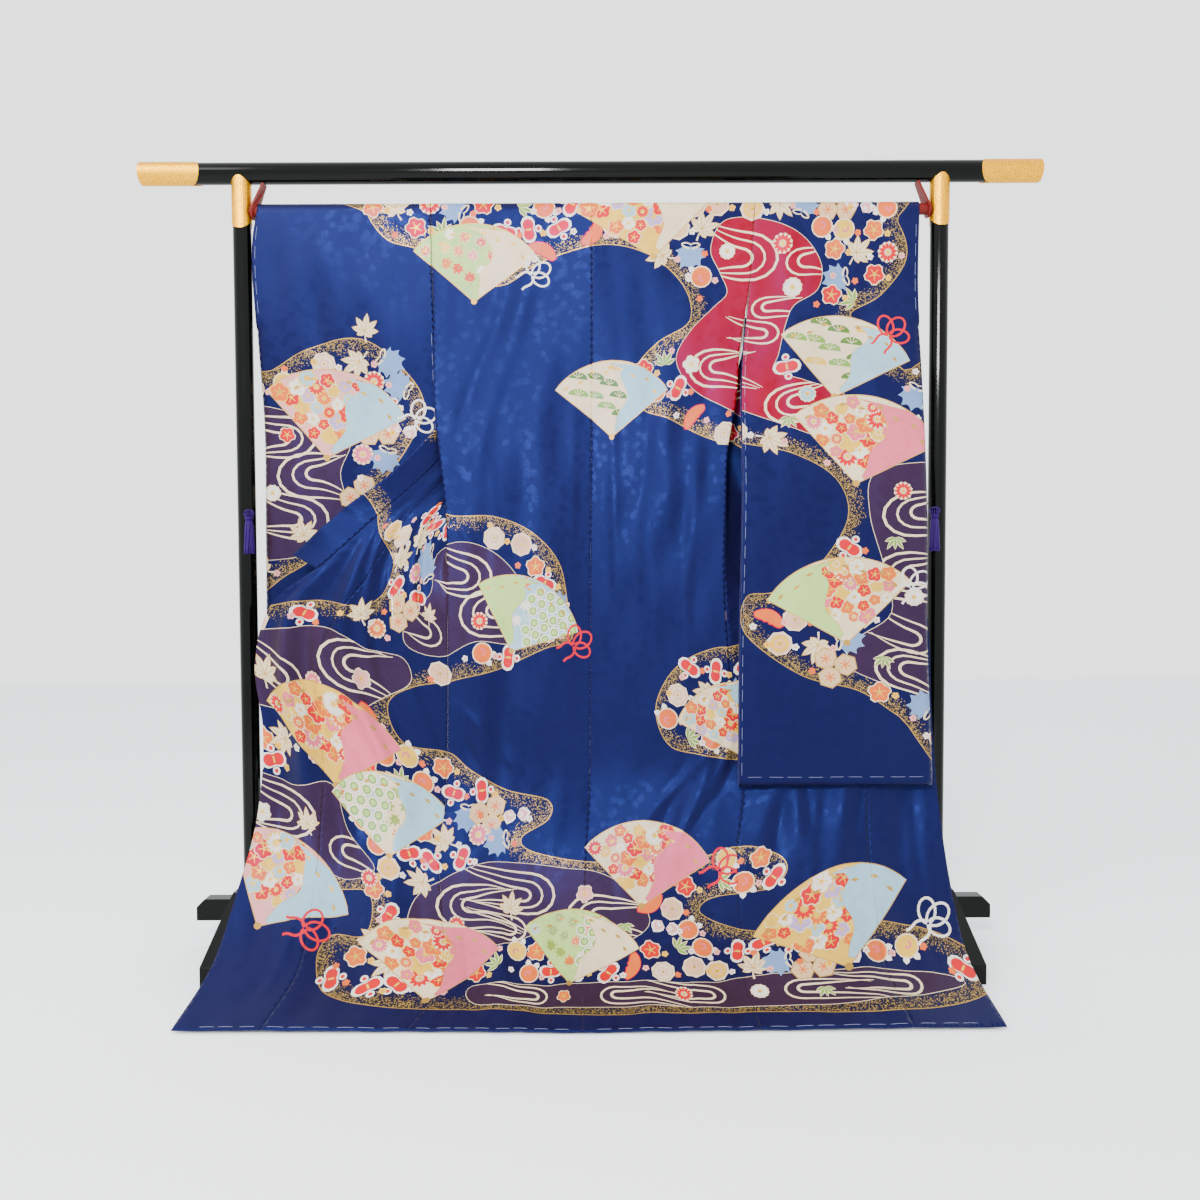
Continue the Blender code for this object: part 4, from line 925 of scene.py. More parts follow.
def lift_okumi(side):
    """Flat places of an overlap width, which goes on from the front's own width."""
    def lift(flat):
        return front_places(side, flat[:, 0] + FRONT_WIDTH, flat[:, 1])
    return lift


def lift_sleeve(side):
    """Flat places of a sleeve: its near layer has negative distances down, its far layer positive ones."""
    def lift(flat):
        across, down = flat.T
        points, normals = np.empty((len(flat), 3)), np.empty((len(flat), 3))
        for face, rows in ((-1, down < 0), (1, down >= 0)):
            points[rows], normals[rows] = at_grid(SLEEVES[side, face], SLEEVE_ROWS, SLEEVE_SHARES,
                                                  abs(down[rows]), across[rows] / SLEEVE_WIDTH)
        return points, normals
    return lift


COLLAR_RUN = np.concatenate([[0], np.cumsum(np.linalg.norm(np.diff(COLLAR[0][:, 0], axis=0), axis=1))])


def lift_collar(flat):
    """Flat places of the collar: across its band, and along the run of its sewn edge."""
    return at_grid(COLLAR, COLLAR_RUN, COLLAR_SHARES, flat[:, 1], flat[:, 0] / COLLAR_WIDTH)


BODY_OUTLINE = outline_steps([(0, -HEM), (BODY_WIDTH, -HEM), (BODY_WIDTH, 0), (FRONT_ACROSS, 0),
                              (FRONT_ACROSS, HEM), (0, HEM)], OUTLINE_STEP)
OKUMI_DOWN = np.linspace(OKUMI_TOP, HEM, 24)
OKUMI_OUTLINE = outline_steps([(float(okumi_width(s)), s) for s in OKUMI_DOWN]
                              + [(SEAM_GAP / 2, HEM), (SEAM_GAP / 2, OKUMI_TOP)], OUTLINE_STEP)
SLEEVE_OUTLINE = outline_steps([(0, -SLEEVE_FOOT), (SLEEVE_WIDTH, -SLEEVE_FOOT), (SLEEVE_WIDTH, SLEEVE_FOOT),
                                (0, SLEEVE_FOOT)], OUTLINE_STEP)
COLLAR_OUTLINE = outline_steps([(0, 0), (COLLAR_WIDTH, 0), (COLLAR_WIDTH, float(COLLAR_RUN[-1])),
                                (0, float(COLLAR_RUN[-1]))], OUTLINE_STEP)


def block(x0, s0, x1, s1):
    """A rectangle on a flat width, with points along its sides so that it bends as the cloth does."""
    return outline_steps([(x0, s0), (x1, s0), (x1, s1), (x0, s1)], OUTLINE_STEP)


# The lining is pale, but for a facing of the blue silk along the hem, the fronts' edges and the cuffs
HEM_FACING = 0.20
CUFF_FACING = 0.03
# The overlap's facing covers it all, in two lengths that are joined this far down
FACING_JOINT = 1.20
FACING_TOP = 0.20
FACING_REACH = 0.17
# Each facing's outline goes on past its width, so that it covers the very edge
BEYOND = 0.01
BODY_FACINGS = [block(-BEYOND, -HEM - BEYOND, BODY_WIDTH + BEYOND, -HEM + HEM_FACING),
                block(-BEYOND, HEM - HEM_FACING, FRONT_ACROSS + BEYOND, HEM + BEYOND)]
OKUMI_FACINGS = [block(-BEYOND, FACING_JOINT, FACING_REACH, HEM + BEYOND),
                 block(-BEYOND, FACING_TOP, FACING_REACH, FACING_JOINT)]
SLEEVE_FACINGS = [block(SLEEVE_WIDTH - CUFF_FACING, -CUFF, SLEEVE_WIDTH + BEYOND, CUFF),
                  block(-BEYOND, -SLEEVE_FOOT - BEYOND, CUFF_FACING, -ARMHOLE),
                  block(-BEYOND, ARMHOLE, CUFF_FACING, SLEEVE_FOOT + BEYOND)]
COLLAR_FACINGS = [block(-BEYOND, -BEYOND, COLLAR_WIDTH + BEYOND, float(COLLAR_RUN[-1]) + BEYOND)]

# %% [markdown]
# ## Drawing with dye
# The pattern on this silk is painted: each motif is outlined with a thin line of paste, filled
# with dye, and some outlines are gilded. Here each painted patch is one flat outline with its
# colour. Patches later in the list lie over earlier ones, as later washes do, and a patch may be
# held inside another one, as a flower is held inside the leaf of a fan.

# %% The dye pots
# A wash lets some of the white silk through, so each colour is taken at this share of its strength
DEPTH_OF_DYE = 0.54
DYES = {"gold": "#CFA244", "cream": "#F5DDB2", "white": "#F8EFE2", "red": "#E01E08", "crimson": "#980400",
        "orange": "#F0701C", "yellow": "#F4C23C", "pink": "#EE6E80", "rose": "#F3A9A2", "green": "#BBDC78",
        "leaf": "#82AC3E", "pine": "#5F8426", "sky": "#A3CCDA", "slate": "#7E9CC6", "lilac": "#BFA2D2",
        "purple": "#38222F", "buff": "#E6BE8A"}
DYES = {name: tuple(DEPTH_OF_DYE * value for value in linear(code)) for name, code in DYES.items()}
DYES["night"] = GROUND
PATCHES = []


def patch(on, outline, dye, gilt=0.0, dust=0.0, ground=None):
    """Adds one painted patch and returns its number; on has a letter for each part that it falls on."""
    PATCHES.append((on, np.asarray(outline), DYES[dye], gilt, dust, ground))
    return len(PATCHES) - 1


def put(points, x, s, size=1.0, turn=0.0):
    """Points scaled, turned clockwise by degrees and moved to x across and s down."""
    a = math.radians(turn)
    turned = np.array([[math.cos(a), math.sin(a)], [-math.sin(a), math.cos(a)]])
    return np.asarray(points) @ turned * size + (x, s)


def stamp(on, shape, x, s, size, turn, dye, ground=None, gilt=0.0):
    """Adds one painted patch whose shape is scaled, turned and moved to its place."""
    return patch(on, put(shape, x, s, size, turn), dye, gilt, ground=ground)


def around(count, start=0.0):
    """Evenly spaced angles of a full turn."""
    return start + np.arange(count) * 2 * math.pi / count


def polar(radius, angle):
    """Points at radius and angle, with the angle measured clockwise from straight up the cloth."""
    return np.stack([radius * np.sin(angle), -radius * np.cos(angle)], axis=-1)


def closed_curve(corners, steps=6):
    """A smooth closed outline through its corners: the Catmull-Rom cubic between each pair of them."""
    p = np.asarray(corners, dtype=float)
    p, before, after, later = (q[:, None, :] for q in (p, np.roll(p, 1, axis=0), np.roll(p, -1, axis=0),
                                                       np.roll(p, -2, axis=0)))
    u = np.linspace(0, 1, steps, endpoint=False)[None, :, None]
    curve = 0.5 * (2 * p + (after - before) * u + (2 * before - 5 * p + 4 * after - later) * u ** 2
                   + (3 * p - before - 3 * after + later) * u ** 3)
    return curve.reshape(-1, 2)


def grown(outline, by):
    """An outline moved outwards by a distance, along the bisector at each corner."""
    p = wound(np.asarray(outline, dtype=float))
    along = unit(np.roll(p, -1, axis=0) - np.roll(p, 1, axis=0))
    return p + zipped(along[:, 1], -along[:, 0]) * by


def ribbon(path, widths):
    """A strip along a path: its two edges lie half the width to either side."""
    path = np.asarray(path, dtype=float)
    along = unit(np.gradient(path, axis=0))
    across = zipped(along[:, 1], -along[:, 0]) * np.asarray(widths)[:, None] / 2
    return np.concatenate([path + across, (path - across)[::-1]])


def disc(radius=1.0, sides=12):
    """A circle's outline, as a polygon that is fine enough for its size."""
    return polar(radius, around(sides))


def blade(length, width, foot=0.0, steps=5):
    """A pointed leaf that rises from its foot: half its width is width / 2 * sin(pi * u ** 0.85) ** 0.8."""
    u = np.linspace(0, 1, steps)
    half = width / 2 * np.sin(math.pi * u ** 0.85) ** 0.8
    edge = zipped(half, -foot - u * length)
    return np.concatenate([edge, (edge * (-1, 1))[::-1][1:-1]])


def petals(count, dent, points=3):
    """A blossom's edge of radius 1 with rounded petals: r = 1 - dent * (1 - |sin(count * a / 2)| ** 0.6)."""
    a = around(count * points)
    return polar(1 - dent * (1 - np.abs(np.sin(count * a / 2)) ** 0.6), a)

# %% [markdown]
# ## Blossoms, leaves and treasures
# The motifs are old and common ones: plum and chrysanthemum, maple and bamboo, tortoiseshell,
# shells, weights and other treasures of good luck. Each is a function of its place, its size in
# metres and its turn in degrees, so that it can be strewn over the cloth like a stencil.

# %% Blossoms
def plum(on, x, s, size, turn=0, dye="red", rim="cream", ground=None):
    """A plum blossom: five round petals in a pale rim, with five stamens and a golden heart."""
    stamp(on, petals(5, 0.22), x, s, size, turn, rim, ground)
    stamp(on, petals(5, 0.22), x, s, size * 0.88, turn, dye, ground)
    for angle in around(5, 0.6):
        line = ribbon(polar(np.array([0.15, 0.55]), angle + np.zeros(2)), [0.10, 0.06])
        stamp(on, line, x, s, size, turn, "yellow", ground, gilt=0.5)
    stamp(on, disc(0.17, 7), x, s, size, 0, "yellow", ground, gilt=0.5)


def mum(on, x, s, size, turn=0, dye="red", rim="cream", ground=None):
    """A chrysanthemum: twelve narrow petals on a pale scalloped ground."""
    stamp(on, petals(12, 0.10, 2), x, s, size, turn, rim, ground)
    for angle in range(0, 360, 30):
        stamp(on, blade(0.68, 0.34, 0.26, 4), x, s, size, turn + angle, dye, ground)
    stamp(on, disc(0.22, 8), x, s, size, 0, "yellow", ground, gilt=0.5)


def roundel(on, x, s, size, turn=0, dye="cream", eye="rose", ground=None):
    """A pale round blossom: a scalloped edge, a thin ring and a small figure in the middle."""
    stamp(on, petals(8, 0.09, 2), x, s, size, turn, "cream", ground)
    stamp(on, disc(0.80, 12), x, s, size, turn, eye, ground, gilt=0.3)
    stamp(on, disc(0.72, 12), x, s, size, turn, dye, ground)
    stamp(on, petals(5, 0.35), x, s, size * 0.46, turn, eye, ground)
    stamp(on, petals(5, 0.35), x, s, size * 0.32, turn, dye, ground)
    stamp(on, disc(0.12, 6), x, s, size, 0, "gold", ground, gilt=1.0)


def berry(on, x, s, size, turn=0, dye="white", ground=None):
    """A very small blossom or bead to fill a gap."""
    stamp(on, petals(5, 0.25), x, s, size, turn, dye, ground)
    stamp(on, disc(0.25, 6), x, s, size, 0, "orange", ground)

# %% Leaves
MAPLE = ((-122, 0.55), (-82, 0.82), (-40, 0.98), (0, 1.10), (40, 0.98), (82, 0.82), (122, 0.55))


def maple(on, x, s, size, turn=0, dye="cream", rim="gold", ground=None):
    """A maple leaf of seven blades, each with its vein, and a stalk."""
    stalk = [(0, 0), (0.05, 0.35), (0.15, 0.65)]
    stamp(on, ribbon(stalk, [0.08, 0.07, 0.10]), x, s, size, turn, dye, ground)
    for angle, reach in MAPLE:
        stamp(on, blade(reach, 0.40), x, s, size, turn + angle, rim, ground, gilt=0.6)
    for angle, reach in MAPLE:
        stamp(on, blade(reach * 0.94, 0.34), x, s, size, turn + angle, dye, ground)
        vein = ribbon([(0, 0), (0, -reach * 0.8)], [0.05, 0.03])
        stamp(on, vein, x, s, size, turn + angle, rim, ground, gilt=0.6)


def bamboo(on, x, s, size, turn=0, dye="leaf", ground=None):
    """Bamboo leaves: five narrow blades that hang from one joint."""
    for angle, reach in ((112, 0.8), (146, 1.0), (180, 0.85), (214, 1.0), (248, 0.75)):
        stamp(on, blade(reach, 0.30), x, s, size, turn + angle, "cream", ground)
        stamp(on, blade(reach * 0.93, 0.18), x, s, size, turn + angle, dye, ground)


def ivy(on, x, s, size, turn=0, dye="slate", ground=None):
    """A slate-blue leaf with a ragged foot, and two curled tendrils over it."""
    a = np.linspace(-1.9, 1.9, 22)
    ragged = 0.62 + 0.32 * np.cos(a) + np.where(np.arange(22) % 3 == 1, 0.24, 0.0)
    stamp(on, np.concatenate([polar(ragged, a + math.pi), polar(0.25, np.array([0.6, -0.6]))[::-1]]), x, s,
          size, turn, dye, ground)
    t = np.linspace(0, 1, 10)
    for way in (-1, 1):
        swing = way * (0.08 + 0.55 * np.sin(t * 3.4)) * (1 - 0.45 * t)
        curl = zipped(swing, -0.1 - 0.6 * t + 0.4 * t ** 4)
        stamp(on, ribbon(curl, 0.11 - 0.05 * t), x, s, size, turn, "cream", ground)

# %% Treasures
def weight(on, x, s, size, turn=0, dye="red", ground=None):
    """A money weight: a waisted shape edged in white, with a small ring to each side."""
    waist = polar(0.70 + 0.30 * np.cos(2 * around(18)), around(18))
    stamp(on, waist, x, s, size, turn, "white", ground)
    stamp(on, waist, x, s, size * 0.78, turn, dye, ground)
    stamp(on, ribbon([(-0.2, 0), (0.2, 0)], [0.14, 0.14]), x, s, size, turn, "yellow", ground)
    for way in (-1, 1):
        at = put([(way * 0.70, 0.0)], x, s, size, turn)[0]
        stamp(on, disc(0.27, 9), *at, size, 0, "white", ground)
        stamp(on, disc(0.14, 7), *at, size, 0, dye, ground)


def purse(on, x, s, size, turn=0, dye="yellow", ground=None):
    """A round purse with a curled cord on it and two loose ribbons under it."""
    for way in (-1, 1):
        stamp(on, blade(0.55, 0.45, 0.62), x, s, size, turn + 180 + way * 24, "white", ground)
    stamp(on, disc(0.80, 14), x, s, size, turn, "cream", ground)
    stamp(on, disc(0.70, 14), x, s, size, turn, dye, ground)
    t = np.linspace(-2.0, 2.6, 12)
    swirl = zipped(0.40 * np.sin(t) * (0.4 + t / 5), 0.34 * np.cos(t) * (0.4 + t / 5))
    stamp(on, ribbon(swirl, np.full(12, 0.12)), x, s, size, turn, "pink", ground)


def shells(on, x, s, size, turn=0, dye="rose", ground=None):
    """Two clam shells, each a pointed oval with its growth lines."""
    growth = ((1.0, 0.95, "white"), (0.80, 0.72, dye), (0.50, 0.42, "white"), (0.3, 0.2, dye))
    for way in (-1, 1):
        at = put([(way * 0.45, way * 0.30)], x, s, size, turn)[0]
        for length, width, tint in growth:
            stamp(on, blade(length, width, -0.5), *at, size, turn + 60 * way, tint, ground)


def hat(on, x, s, size, turn=0, dye="yellow", ground=None):
    """A court hat or low hill: a curved top over a scalloped foot."""
    u = np.linspace(-1, 1, 13)
    top = zipped(u, -0.60 * (1 - u ** 2) ** 0.8)
    foot = zipped(u[::-1], 0.22 + 0.10 * np.abs(np.sin(u[::-1] * 8)))[1:-1]
    stamp(on, np.concatenate([top, foot]), x, s, size, turn, "red", ground)
    stamp(on, np.concatenate([top * 0.93, foot - (0, 0.08)]), x, s, size, turn, dye, ground)
    for at in (-0.4, 0.0, 0.4):
        stamp(on, disc(0.09, 6) + (at, -0.1), x, s, size, turn, "orange", ground)


def hexagons(on, x, s, size, turn=0, dye="buff", ground=None):
    """Tortoiseshell: three six-sided cells of a honeycomb, each with a small star."""
    for angle in (90, 210, 330):
        at = put(polar(0.62, np.array([math.radians(angle)])), x, s, size, turn)[0]
        stamp(on, polar(0.66, around(6)), *at, size, turn, "gold", ground, gilt=1.0)
        stamp(on, polar(0.60, around(6)), *at, size, turn, dye, ground)
        for star in (0, 60, 120):
            stamp(on, ribbon([(0, -0.3), (0, 0.3)], [0.06, 0.06]), *at, size, turn + star, "orange", ground)


def knot(on, x, s, size, turn=0, dye="red"):
    """A cord tied in three loops, with two loose ends."""
    t = np.linspace(0.15, math.pi * 2 - 0.15, 17)
    for angle, reach in ((-58, 0.95), (0, 1.0), (58, 0.90)):
        loop = zipped(0.36 * reach * np.sin(t), -reach * (1 - np.cos(t)) / 2)
        stamp(on, ribbon(loop, np.full(17, 0.10)), x, s, size, turn + angle, dye)
    t = np.linspace(0, 1, 8)
    for way in (-1, 1):
        tail = zipped(way * (0.12 + 0.35 * t + 0.10 * np.sin(5 * t)), 0.85 * t)
        stamp(on, ribbon(tail, np.full(8, 0.11)), x, s, size, turn, dye)

# %% [markdown]
# ## Fans, water and clouds
# The large forms are open fans, streams of water and bands of cloud edged with gold dust. A fan
# is a sector from its pivot; a stream is a dark ground with pale lines that bend back on
# themselves; a cloud is a night-blue ground whose edge is strewn with gold.

# %% What fills a fan
WARM = ("red", "orange", "white", "red", "yellow", "pink", "orange")
COOL = ("red", "white", "sky", "orange", "yellow", "lilac", "red")
FALL = ("orange", "leaf", "white", "leaf", "sky")
# The golden ratio gives each place its turn within the leaf
GOLDEN = 0.618034


def dyes_of(seed):
    """Fans with an odd seed are warm, the others cool."""
    return WARM if seed % 2 else COOL


def places_in(reach, half, count, seed, low=0.25):
    """Places spread evenly inside a fan: r = reach * sqrt(share), with the share even from low ** 2 up."""
    i = np.arange(count)
    angle = (((i * GOLDEN + seed * 0.37) % 1.0) * 2 - 1) * half * 0.92
    return polar(reach * np.sqrt(low ** 2 + (0.94 ** 2 - low ** 2) * (i + 0.5) / count), angle)


def flowers_in(on, x, s, reach, turn, half, ground, seed):
    """Plum blossoms with a chrysanthemum for every fourth, in five sizes."""
    dyes = dyes_of(seed)
    for i, place in enumerate(places_in(reach, half, 34, seed)):
        at = put([place], x, s, 1, turn)[0]
        draw = mum if (i + seed) % 4 == 0 else plum
        size = reach * (0.075 + 0.012 * ((i * 7 + seed) % 5))
        dye = dyes[(i * 3 + seed) % len(dyes)]
        draw(on, *at, size, i * 47, dye, "cream" if i % 2 else "yellow", ground)


def rings_in(on, x, s, reach, turn, half, ground, seed):
    """Linked rings in a honeycomb over one half of the leaf, maple leaves over the other."""
    leaves_in(on, x, s, reach, turn, half, ground, seed, FALL)
    size = 0.075 * reach
    step = 2.1 * size
    way = 1 if seed % 2 else -1
    for row in range(int(reach / step) + 2):
        for column in range(-8, 9):
            place = np.array((column * step + (row % 2) * step / 2, -row * step * 0.866 - 0.2 * reach))
            lean = math.atan2(place[0], -place[1]) * way
            if np.hypot(*place) < reach and 0.0 < lean + 0.1 * math.sin(row * 2.0) < half * 1.1:
                at = put([place], x, s, 1, turn)[0]
                stamp(on, disc(1.0, 9), *at, size, 0, "white", ground)
                stamp(on, disc(0.74, 9), *at, size, 0, "leaf", ground)
                stamp(on, disc(0.50, 8), *at, size, 0, "green", ground)


def leaves_in(on, x, s, reach, turn, half, ground, seed, dyes=None):
    """Maple leaves, some with a gilded rim."""
    dyes = dyes or dyes_of(seed)
    for i, place in enumerate(places_in(reach, half, 17, seed)):
        at = put([place], x, s, 1, turn)[0]
        maple(on, *at, 0.105 * reach, i * 73, dyes[i % len(dyes)], "cream" if i % 3 else "gold", ground)


def pines_in(on, x, s, reach, turn, half, ground, seed):
    """Pine crowns: half-round mounds with the needles as rays."""
    for i, place in enumerate(places_in(reach, half, 13, seed)):
        at = put([place], x, s, 1, turn)[0]
        mound = polar(1.0, np.linspace(-1.7, 1.7, 11)) * (1.35, 0.8)
        stamp(on, mound, *at, reach * 0.12, 8, "cream", ground)
        stamp(on, mound, *at, reach * 0.10, 8, ("pine", "leaf", "yellow")[i % 3], ground)
        for angle in (-55, -20, 20, 55):
            needle = ribbon([(0, 0), (0, -0.8)], [0.05, 0.12])
            stamp(on, needle, *at, reach * 0.10, 8 + angle, "cream", ground)

# %% The fan
FAN_LINE = 1.6 * MM
VEIL_LINE = 0.9 * MM


def fan(on, x, s, reach, turn, fill, leaf, veil, seed, half=0.90):
    """An open fan with its pivot at x, s, turned clockwise by degrees.

    leaf is the dye of its paper, fill paints the picture on it, and veil is the dye of a cloud
    that covers the paper from one side.
    """
    rim = np.linspace(-half, half, 22)
    sector = np.concatenate([polar(reach * 0.03, np.array([half, -half])), polar(reach, rim)])
    stamp(on, grown(sector, FAN_LINE), x, s, 1, turn, "gold", gilt=0.7)
    paper = stamp(on, sector, x, s, 1, turn, leaf)
    fill(on, x, s, reach, turn, half, paper, seed)
    edge = np.linspace(0.10, 1.06, 15)
    side = 1 if seed % 3 else -1
    bays = half * (0.45 - 0.25 * edge) + 0.10 * np.sin(edge * 11 + seed)
    bays = np.where(edge > 0.9, bays - (edge - 0.9) * half * 4, bays)
    outer = polar(reach * 1.06, side * half * np.array([0.6, 1.2]))
    foot = polar(reach * 0.1, side * half * np.array([1.2]))
    veil_shape = np.concatenate([polar(reach * edge, side * bays), outer, foot])
    stamp(on, grown(veil_shape, VEIL_LINE), x, s, 1, turn, "gold", paper, gilt=1.0)
    stamp(on, veil_shape, x, s, 1, turn, veil, paper)
    for i, lean in enumerate(np.linspace(-half * 0.88, half * 0.88, 8)):
        mark = put([(-0.05, 0.0), (0.0, -0.022), (0.05, 0.0), (0.0, 0.018)], 0, -0.90 + 0.05 * (i % 2))
        stamp(on, mark, x, s, reach, turn + math.degrees(lean), "gold", paper, gilt=1.0)
    stamp(on, disc(0.04, 9), x, s, reach, 0, "gold", gilt=1.0)

# %% Water
WATER_LINE = 3.6 * MM
SHORE_LINE = 1.0 * MM


def bend(on, ground, x, s, turn, radius, reach, run, wide=1.0):
    """One line of current: it runs in, turns right round a half circle and runs back, thin at both ends.

    reach is the outermost radius of its sheaf: towards its ends a line bends out to that radius,
    so the whole sheaf gathers into one.
    """
    t = np.linspace(0, 1, 7)
    half_turn = np.linspace(-math.pi / 2, math.pi / 2, 9)
    gather = radius + (reach * 1.05 - radius) * t ** 1.5
    into = zipped(-run * t, -gather - 0.10 * run * t ** 2)[::-1][:-1]
    middle = zipped(radius * 1.35 * np.cos(half_turn), radius * np.sin(half_turn))
    out = zipped(-run * t * 0.85, gather - 0.16 * run * t ** 2)[1:]
    path = put(np.concatenate([into, middle, out]), x, s, 1, turn)
    u = np.linspace(0, 1, len(path))
    widths = WATER_LINE * wide * (0.30 + 0.95 * np.sin(math.pi * u) ** 1.2)
    patch(on, ribbon(path, widths), "cream", ground=ground)


def stream(on, outline, dye, bends):
    """Water: a dyed ground with a fine pale edge and sheaves of nested bends.

    Each sheaf is given by its x, s and turn, the radii of its bends and the run of its lines.
    """
    curve = closed_curve(outline)
    patch(on, grown(curve, SHORE_LINE), "cream")
    ground = patch(on, curve, dye)
    for x, s, turn, radii, run in bends:
        for i, radius in enumerate(radii):
            at = put([(0.45 * (radius - radii[-1]), 0.12 * (radii[-1] - radius))], x, s, 1, turn)[0]
            bend(on, ground, *at, turn, radius, radii[-1], run, 1.2 - 0.25 * (i % 2))
    return curve

# %% Clouds and what is strewn on them
DUST_EDGE = 31 * MM
CLOUD_LINE = 1.5 * MM
STREW_STEP = 56 * MM
TREASURE_ROOM = 14 * MM
BERRY_ROOM = 8 * MM
BERRY = 7 * MM
TREASURES = (weight, roundel, ivy, purse, maple, plum, weight, hat, roundel, hexagons, purse, mum, bamboo,
             weight, roundel, maple, shells, plum, ivy, purse)
SIZES = {roundel: 24, weight: 27, ivy: 34, purse: 27, maple: 37, plum: 22, hat: 31, shells: 29,
         hexagons: 34, mum: 21, bamboo: 33}
TINTS = {plum: ("red", "orange", "rose", "pink", "white"), mum: ("red", "orange", "pink"),
         roundel: ("cream", "buff", "yellow"), maple: ("cream",), weight: ("red",), ivy: ("slate",),
         purse: ("yellow", "orange"), hat: ("yellow", "orange"), shells: ("rose",), hexagons: ("buff",),
         bamboo: ("leaf", "cream")}


def cloud(on, outline):
    """A cloud: a gilded line and a night-blue ground, with gold dust along its edge."""
    curve = closed_curve(outline)
    patch(on, grown(curve, CLOUD_LINE), "gold", 1.0)
    patch(on, curve, "night", 0.0, 1.0)
    return curve


def strew(on, outline, streams, step, seed):
    """Treasures in staggered rows inside an outline, off the water, with very small ones in the gaps."""
    low, high = outline.min(axis=0), outline.max(axis=0)
    x, s = np.meshgrid(np.arange(low[0], high[0], step), np.arange(low[1], high[1], step * 0.80))
    x = x + (np.arange(len(s)) % 2)[:, None] * step / 2
    number = np.arange(x.size) + seed
    places = zipped(x.ravel(), s.ravel())
    places += zipped(np.sin(number * 2.3), np.cos(number * 3.7)) * step * 0.12
    gaps = places + (step / 2, step * 0.12)
    for i in np.flatnonzero(clear_of(places, outline, streams, TREASURE_ROOM)):
        draw = TREASURES[number[i] * 7 % len(TREASURES)]
        tints = TINTS[draw]
        draw(on, *places[i], SIZES[draw] * MM, number[i] * 67 % 360, tints[number[i] % len(tints)])
    for i in np.flatnonzero(clear_of(gaps, outline, streams, BERRY_ROOM)):
        berry(on, *gaps[i], BERRY, number[i] * 31, ("white", "rose", "orange", "yellow")[number[i] % 4])


def clear_of(places, outline, streams, margin):
    """True for each place that lies in the outline and off the water with a margin all round."""
    clear = np.ones(len(places), dtype=bool)
    for way in ((0, 0), (1, 0), (-1, 0), (0, 1), (0, -1)):
        tries = places + np.array(way) * margin
        clear &= inside(tries, outline)
        for stream_curve in streams:
            clear &= ~inside(tries, stream_curve)
    return clear

# %% [markdown]
# ## The layout of the pattern
# A pattern this large is planned over the whole garment before the cloth is dyed, so that it
# meets at every seam. Places are metres to the right of the centre back seam and metres down
# from the shoulder. The letters tell the parts: B the back, F and G the left and the right front
# spread beside it, L and R the sleeves.

# %% Clouds and streams
GREAT_CLOUD = [(-0.21, 0.62), (-0.13, 0.65), (-0.07, 0.71), (-0.05, 0.79), (-0.04, 0.86), (-0.1, 0.88),
               (-0.2, 0.92), (-0.31, 0.945), (-0.38, 0.98), (-0.42, 1.03), (-0.39, 1.09), (-0.31, 1.085),
               (-0.26, 1.12), (-0.18, 1.16), (-0.09, 1.18), (-0.085, 1.215), (-0.14, 1.25), (-0.11, 1.28),
               (0.03, 1.3), (0.23, 1.29), (0.31, 1.27), (0.38, 1.3), (0.4, 1.335), (0.37, 1.36),
               (0.31, 1.36), (0.25, 1.37), (0.23, 1.395), (0.27, 1.42), (0.33, 1.44), (0.41, 1.46),
               (0.55, 1.47), (0.66, 1.51), (0.72, 1.56), (0.7, 1.61), (0.55, 1.63), (0.3, 1.62),
               (0.03, 1.62), (-0.16, 1.61), (-0.31, 1.61), (-0.42, 1.605), (-0.5, 1.58), (-0.53, 1.52),
               (-0.51, 1.475), (-0.455, 1.475), (-0.44, 1.43), (-0.455, 1.385), (-0.53, 1.39),
               (-0.59, 1.36), (-0.67, 1.35), (-0.76, 1.3), (-0.76, 1.05), (-0.7, 0.97), (-0.6, 0.9),
               (-0.52, 0.87), (-0.49, 0.82), (-0.51, 0.76), (-0.6, 0.73), (-0.68, 0.68), (-0.76, 0.62),
               (-0.7, 0.5), (-0.5, 0.5), (-0.38, 0.56), (-0.31, 0.615)]
TOP_CLOUD = [(-0.44, -0.02), (-0.43, 0.03), (-0.39, 0.08), (-0.33, 0.1), (-0.28, 0.15), (-0.18, 0.17),
             (-0.09, 0.12), (0.02, 0.09), (0.11, 0.11), (0.18, 0.17), (0.2, 0.24), (0.14, 0.28),
             (0.1, 0.32), (0.08, 0.36), (0.11, 0.41), (0.17, 0.43), (0.24, 0.46), (0.31, 0.48),
             (0.4, 0.5), (0.48, 0.55), (0.5, 0.63), (0.44, 0.73), (0.37, 0.77), (0.32, 0.78),
             (0.32, 0.85), (0.42, 0.93), (0.52, 0.96), (0.59, 1.01), (0.69, 1.08), (0.71, 0.36),
             (0.61, 0.34), (0.575, 0.28), (0.51, 0.23), (0.57, 0.19), (0.62, 0.12), (0.6, 0.05),
             (0.53, -0.02)]
SIDE_CLOUD = [(0.33, 0.885), (0.25, 0.89), (0.18, 0.93), (0.14, 1.0), (0.16, 1.07), (0.22, 1.09),
              (0.33, 1.1), (0.42, 1.06), (0.43, 0.95)]
SLEEVE_CLOUD = [(-0.7, 0.37), (-0.62, 0.33), (-0.55, 0.29), (-0.45, 0.27), (-0.37, 0.33), (-0.335, 0.4),
                (-0.37, 0.48), (-0.42, 0.55), (-0.47, 0.62), (-0.53, 0.68), (-0.6, 0.73), (-0.7, 0.76)]
FOOT_CLOUD = [(-0.28, 0.88), (-0.36, 0.9), (-0.45, 0.86), (-0.54, 0.88), (-0.6, 0.94), (-0.7, 0.96),
              (-0.7, 1.08), (-0.58, 1.06), (-0.48, 1.02), (-0.38, 1.05), (-0.28, 1.02)]
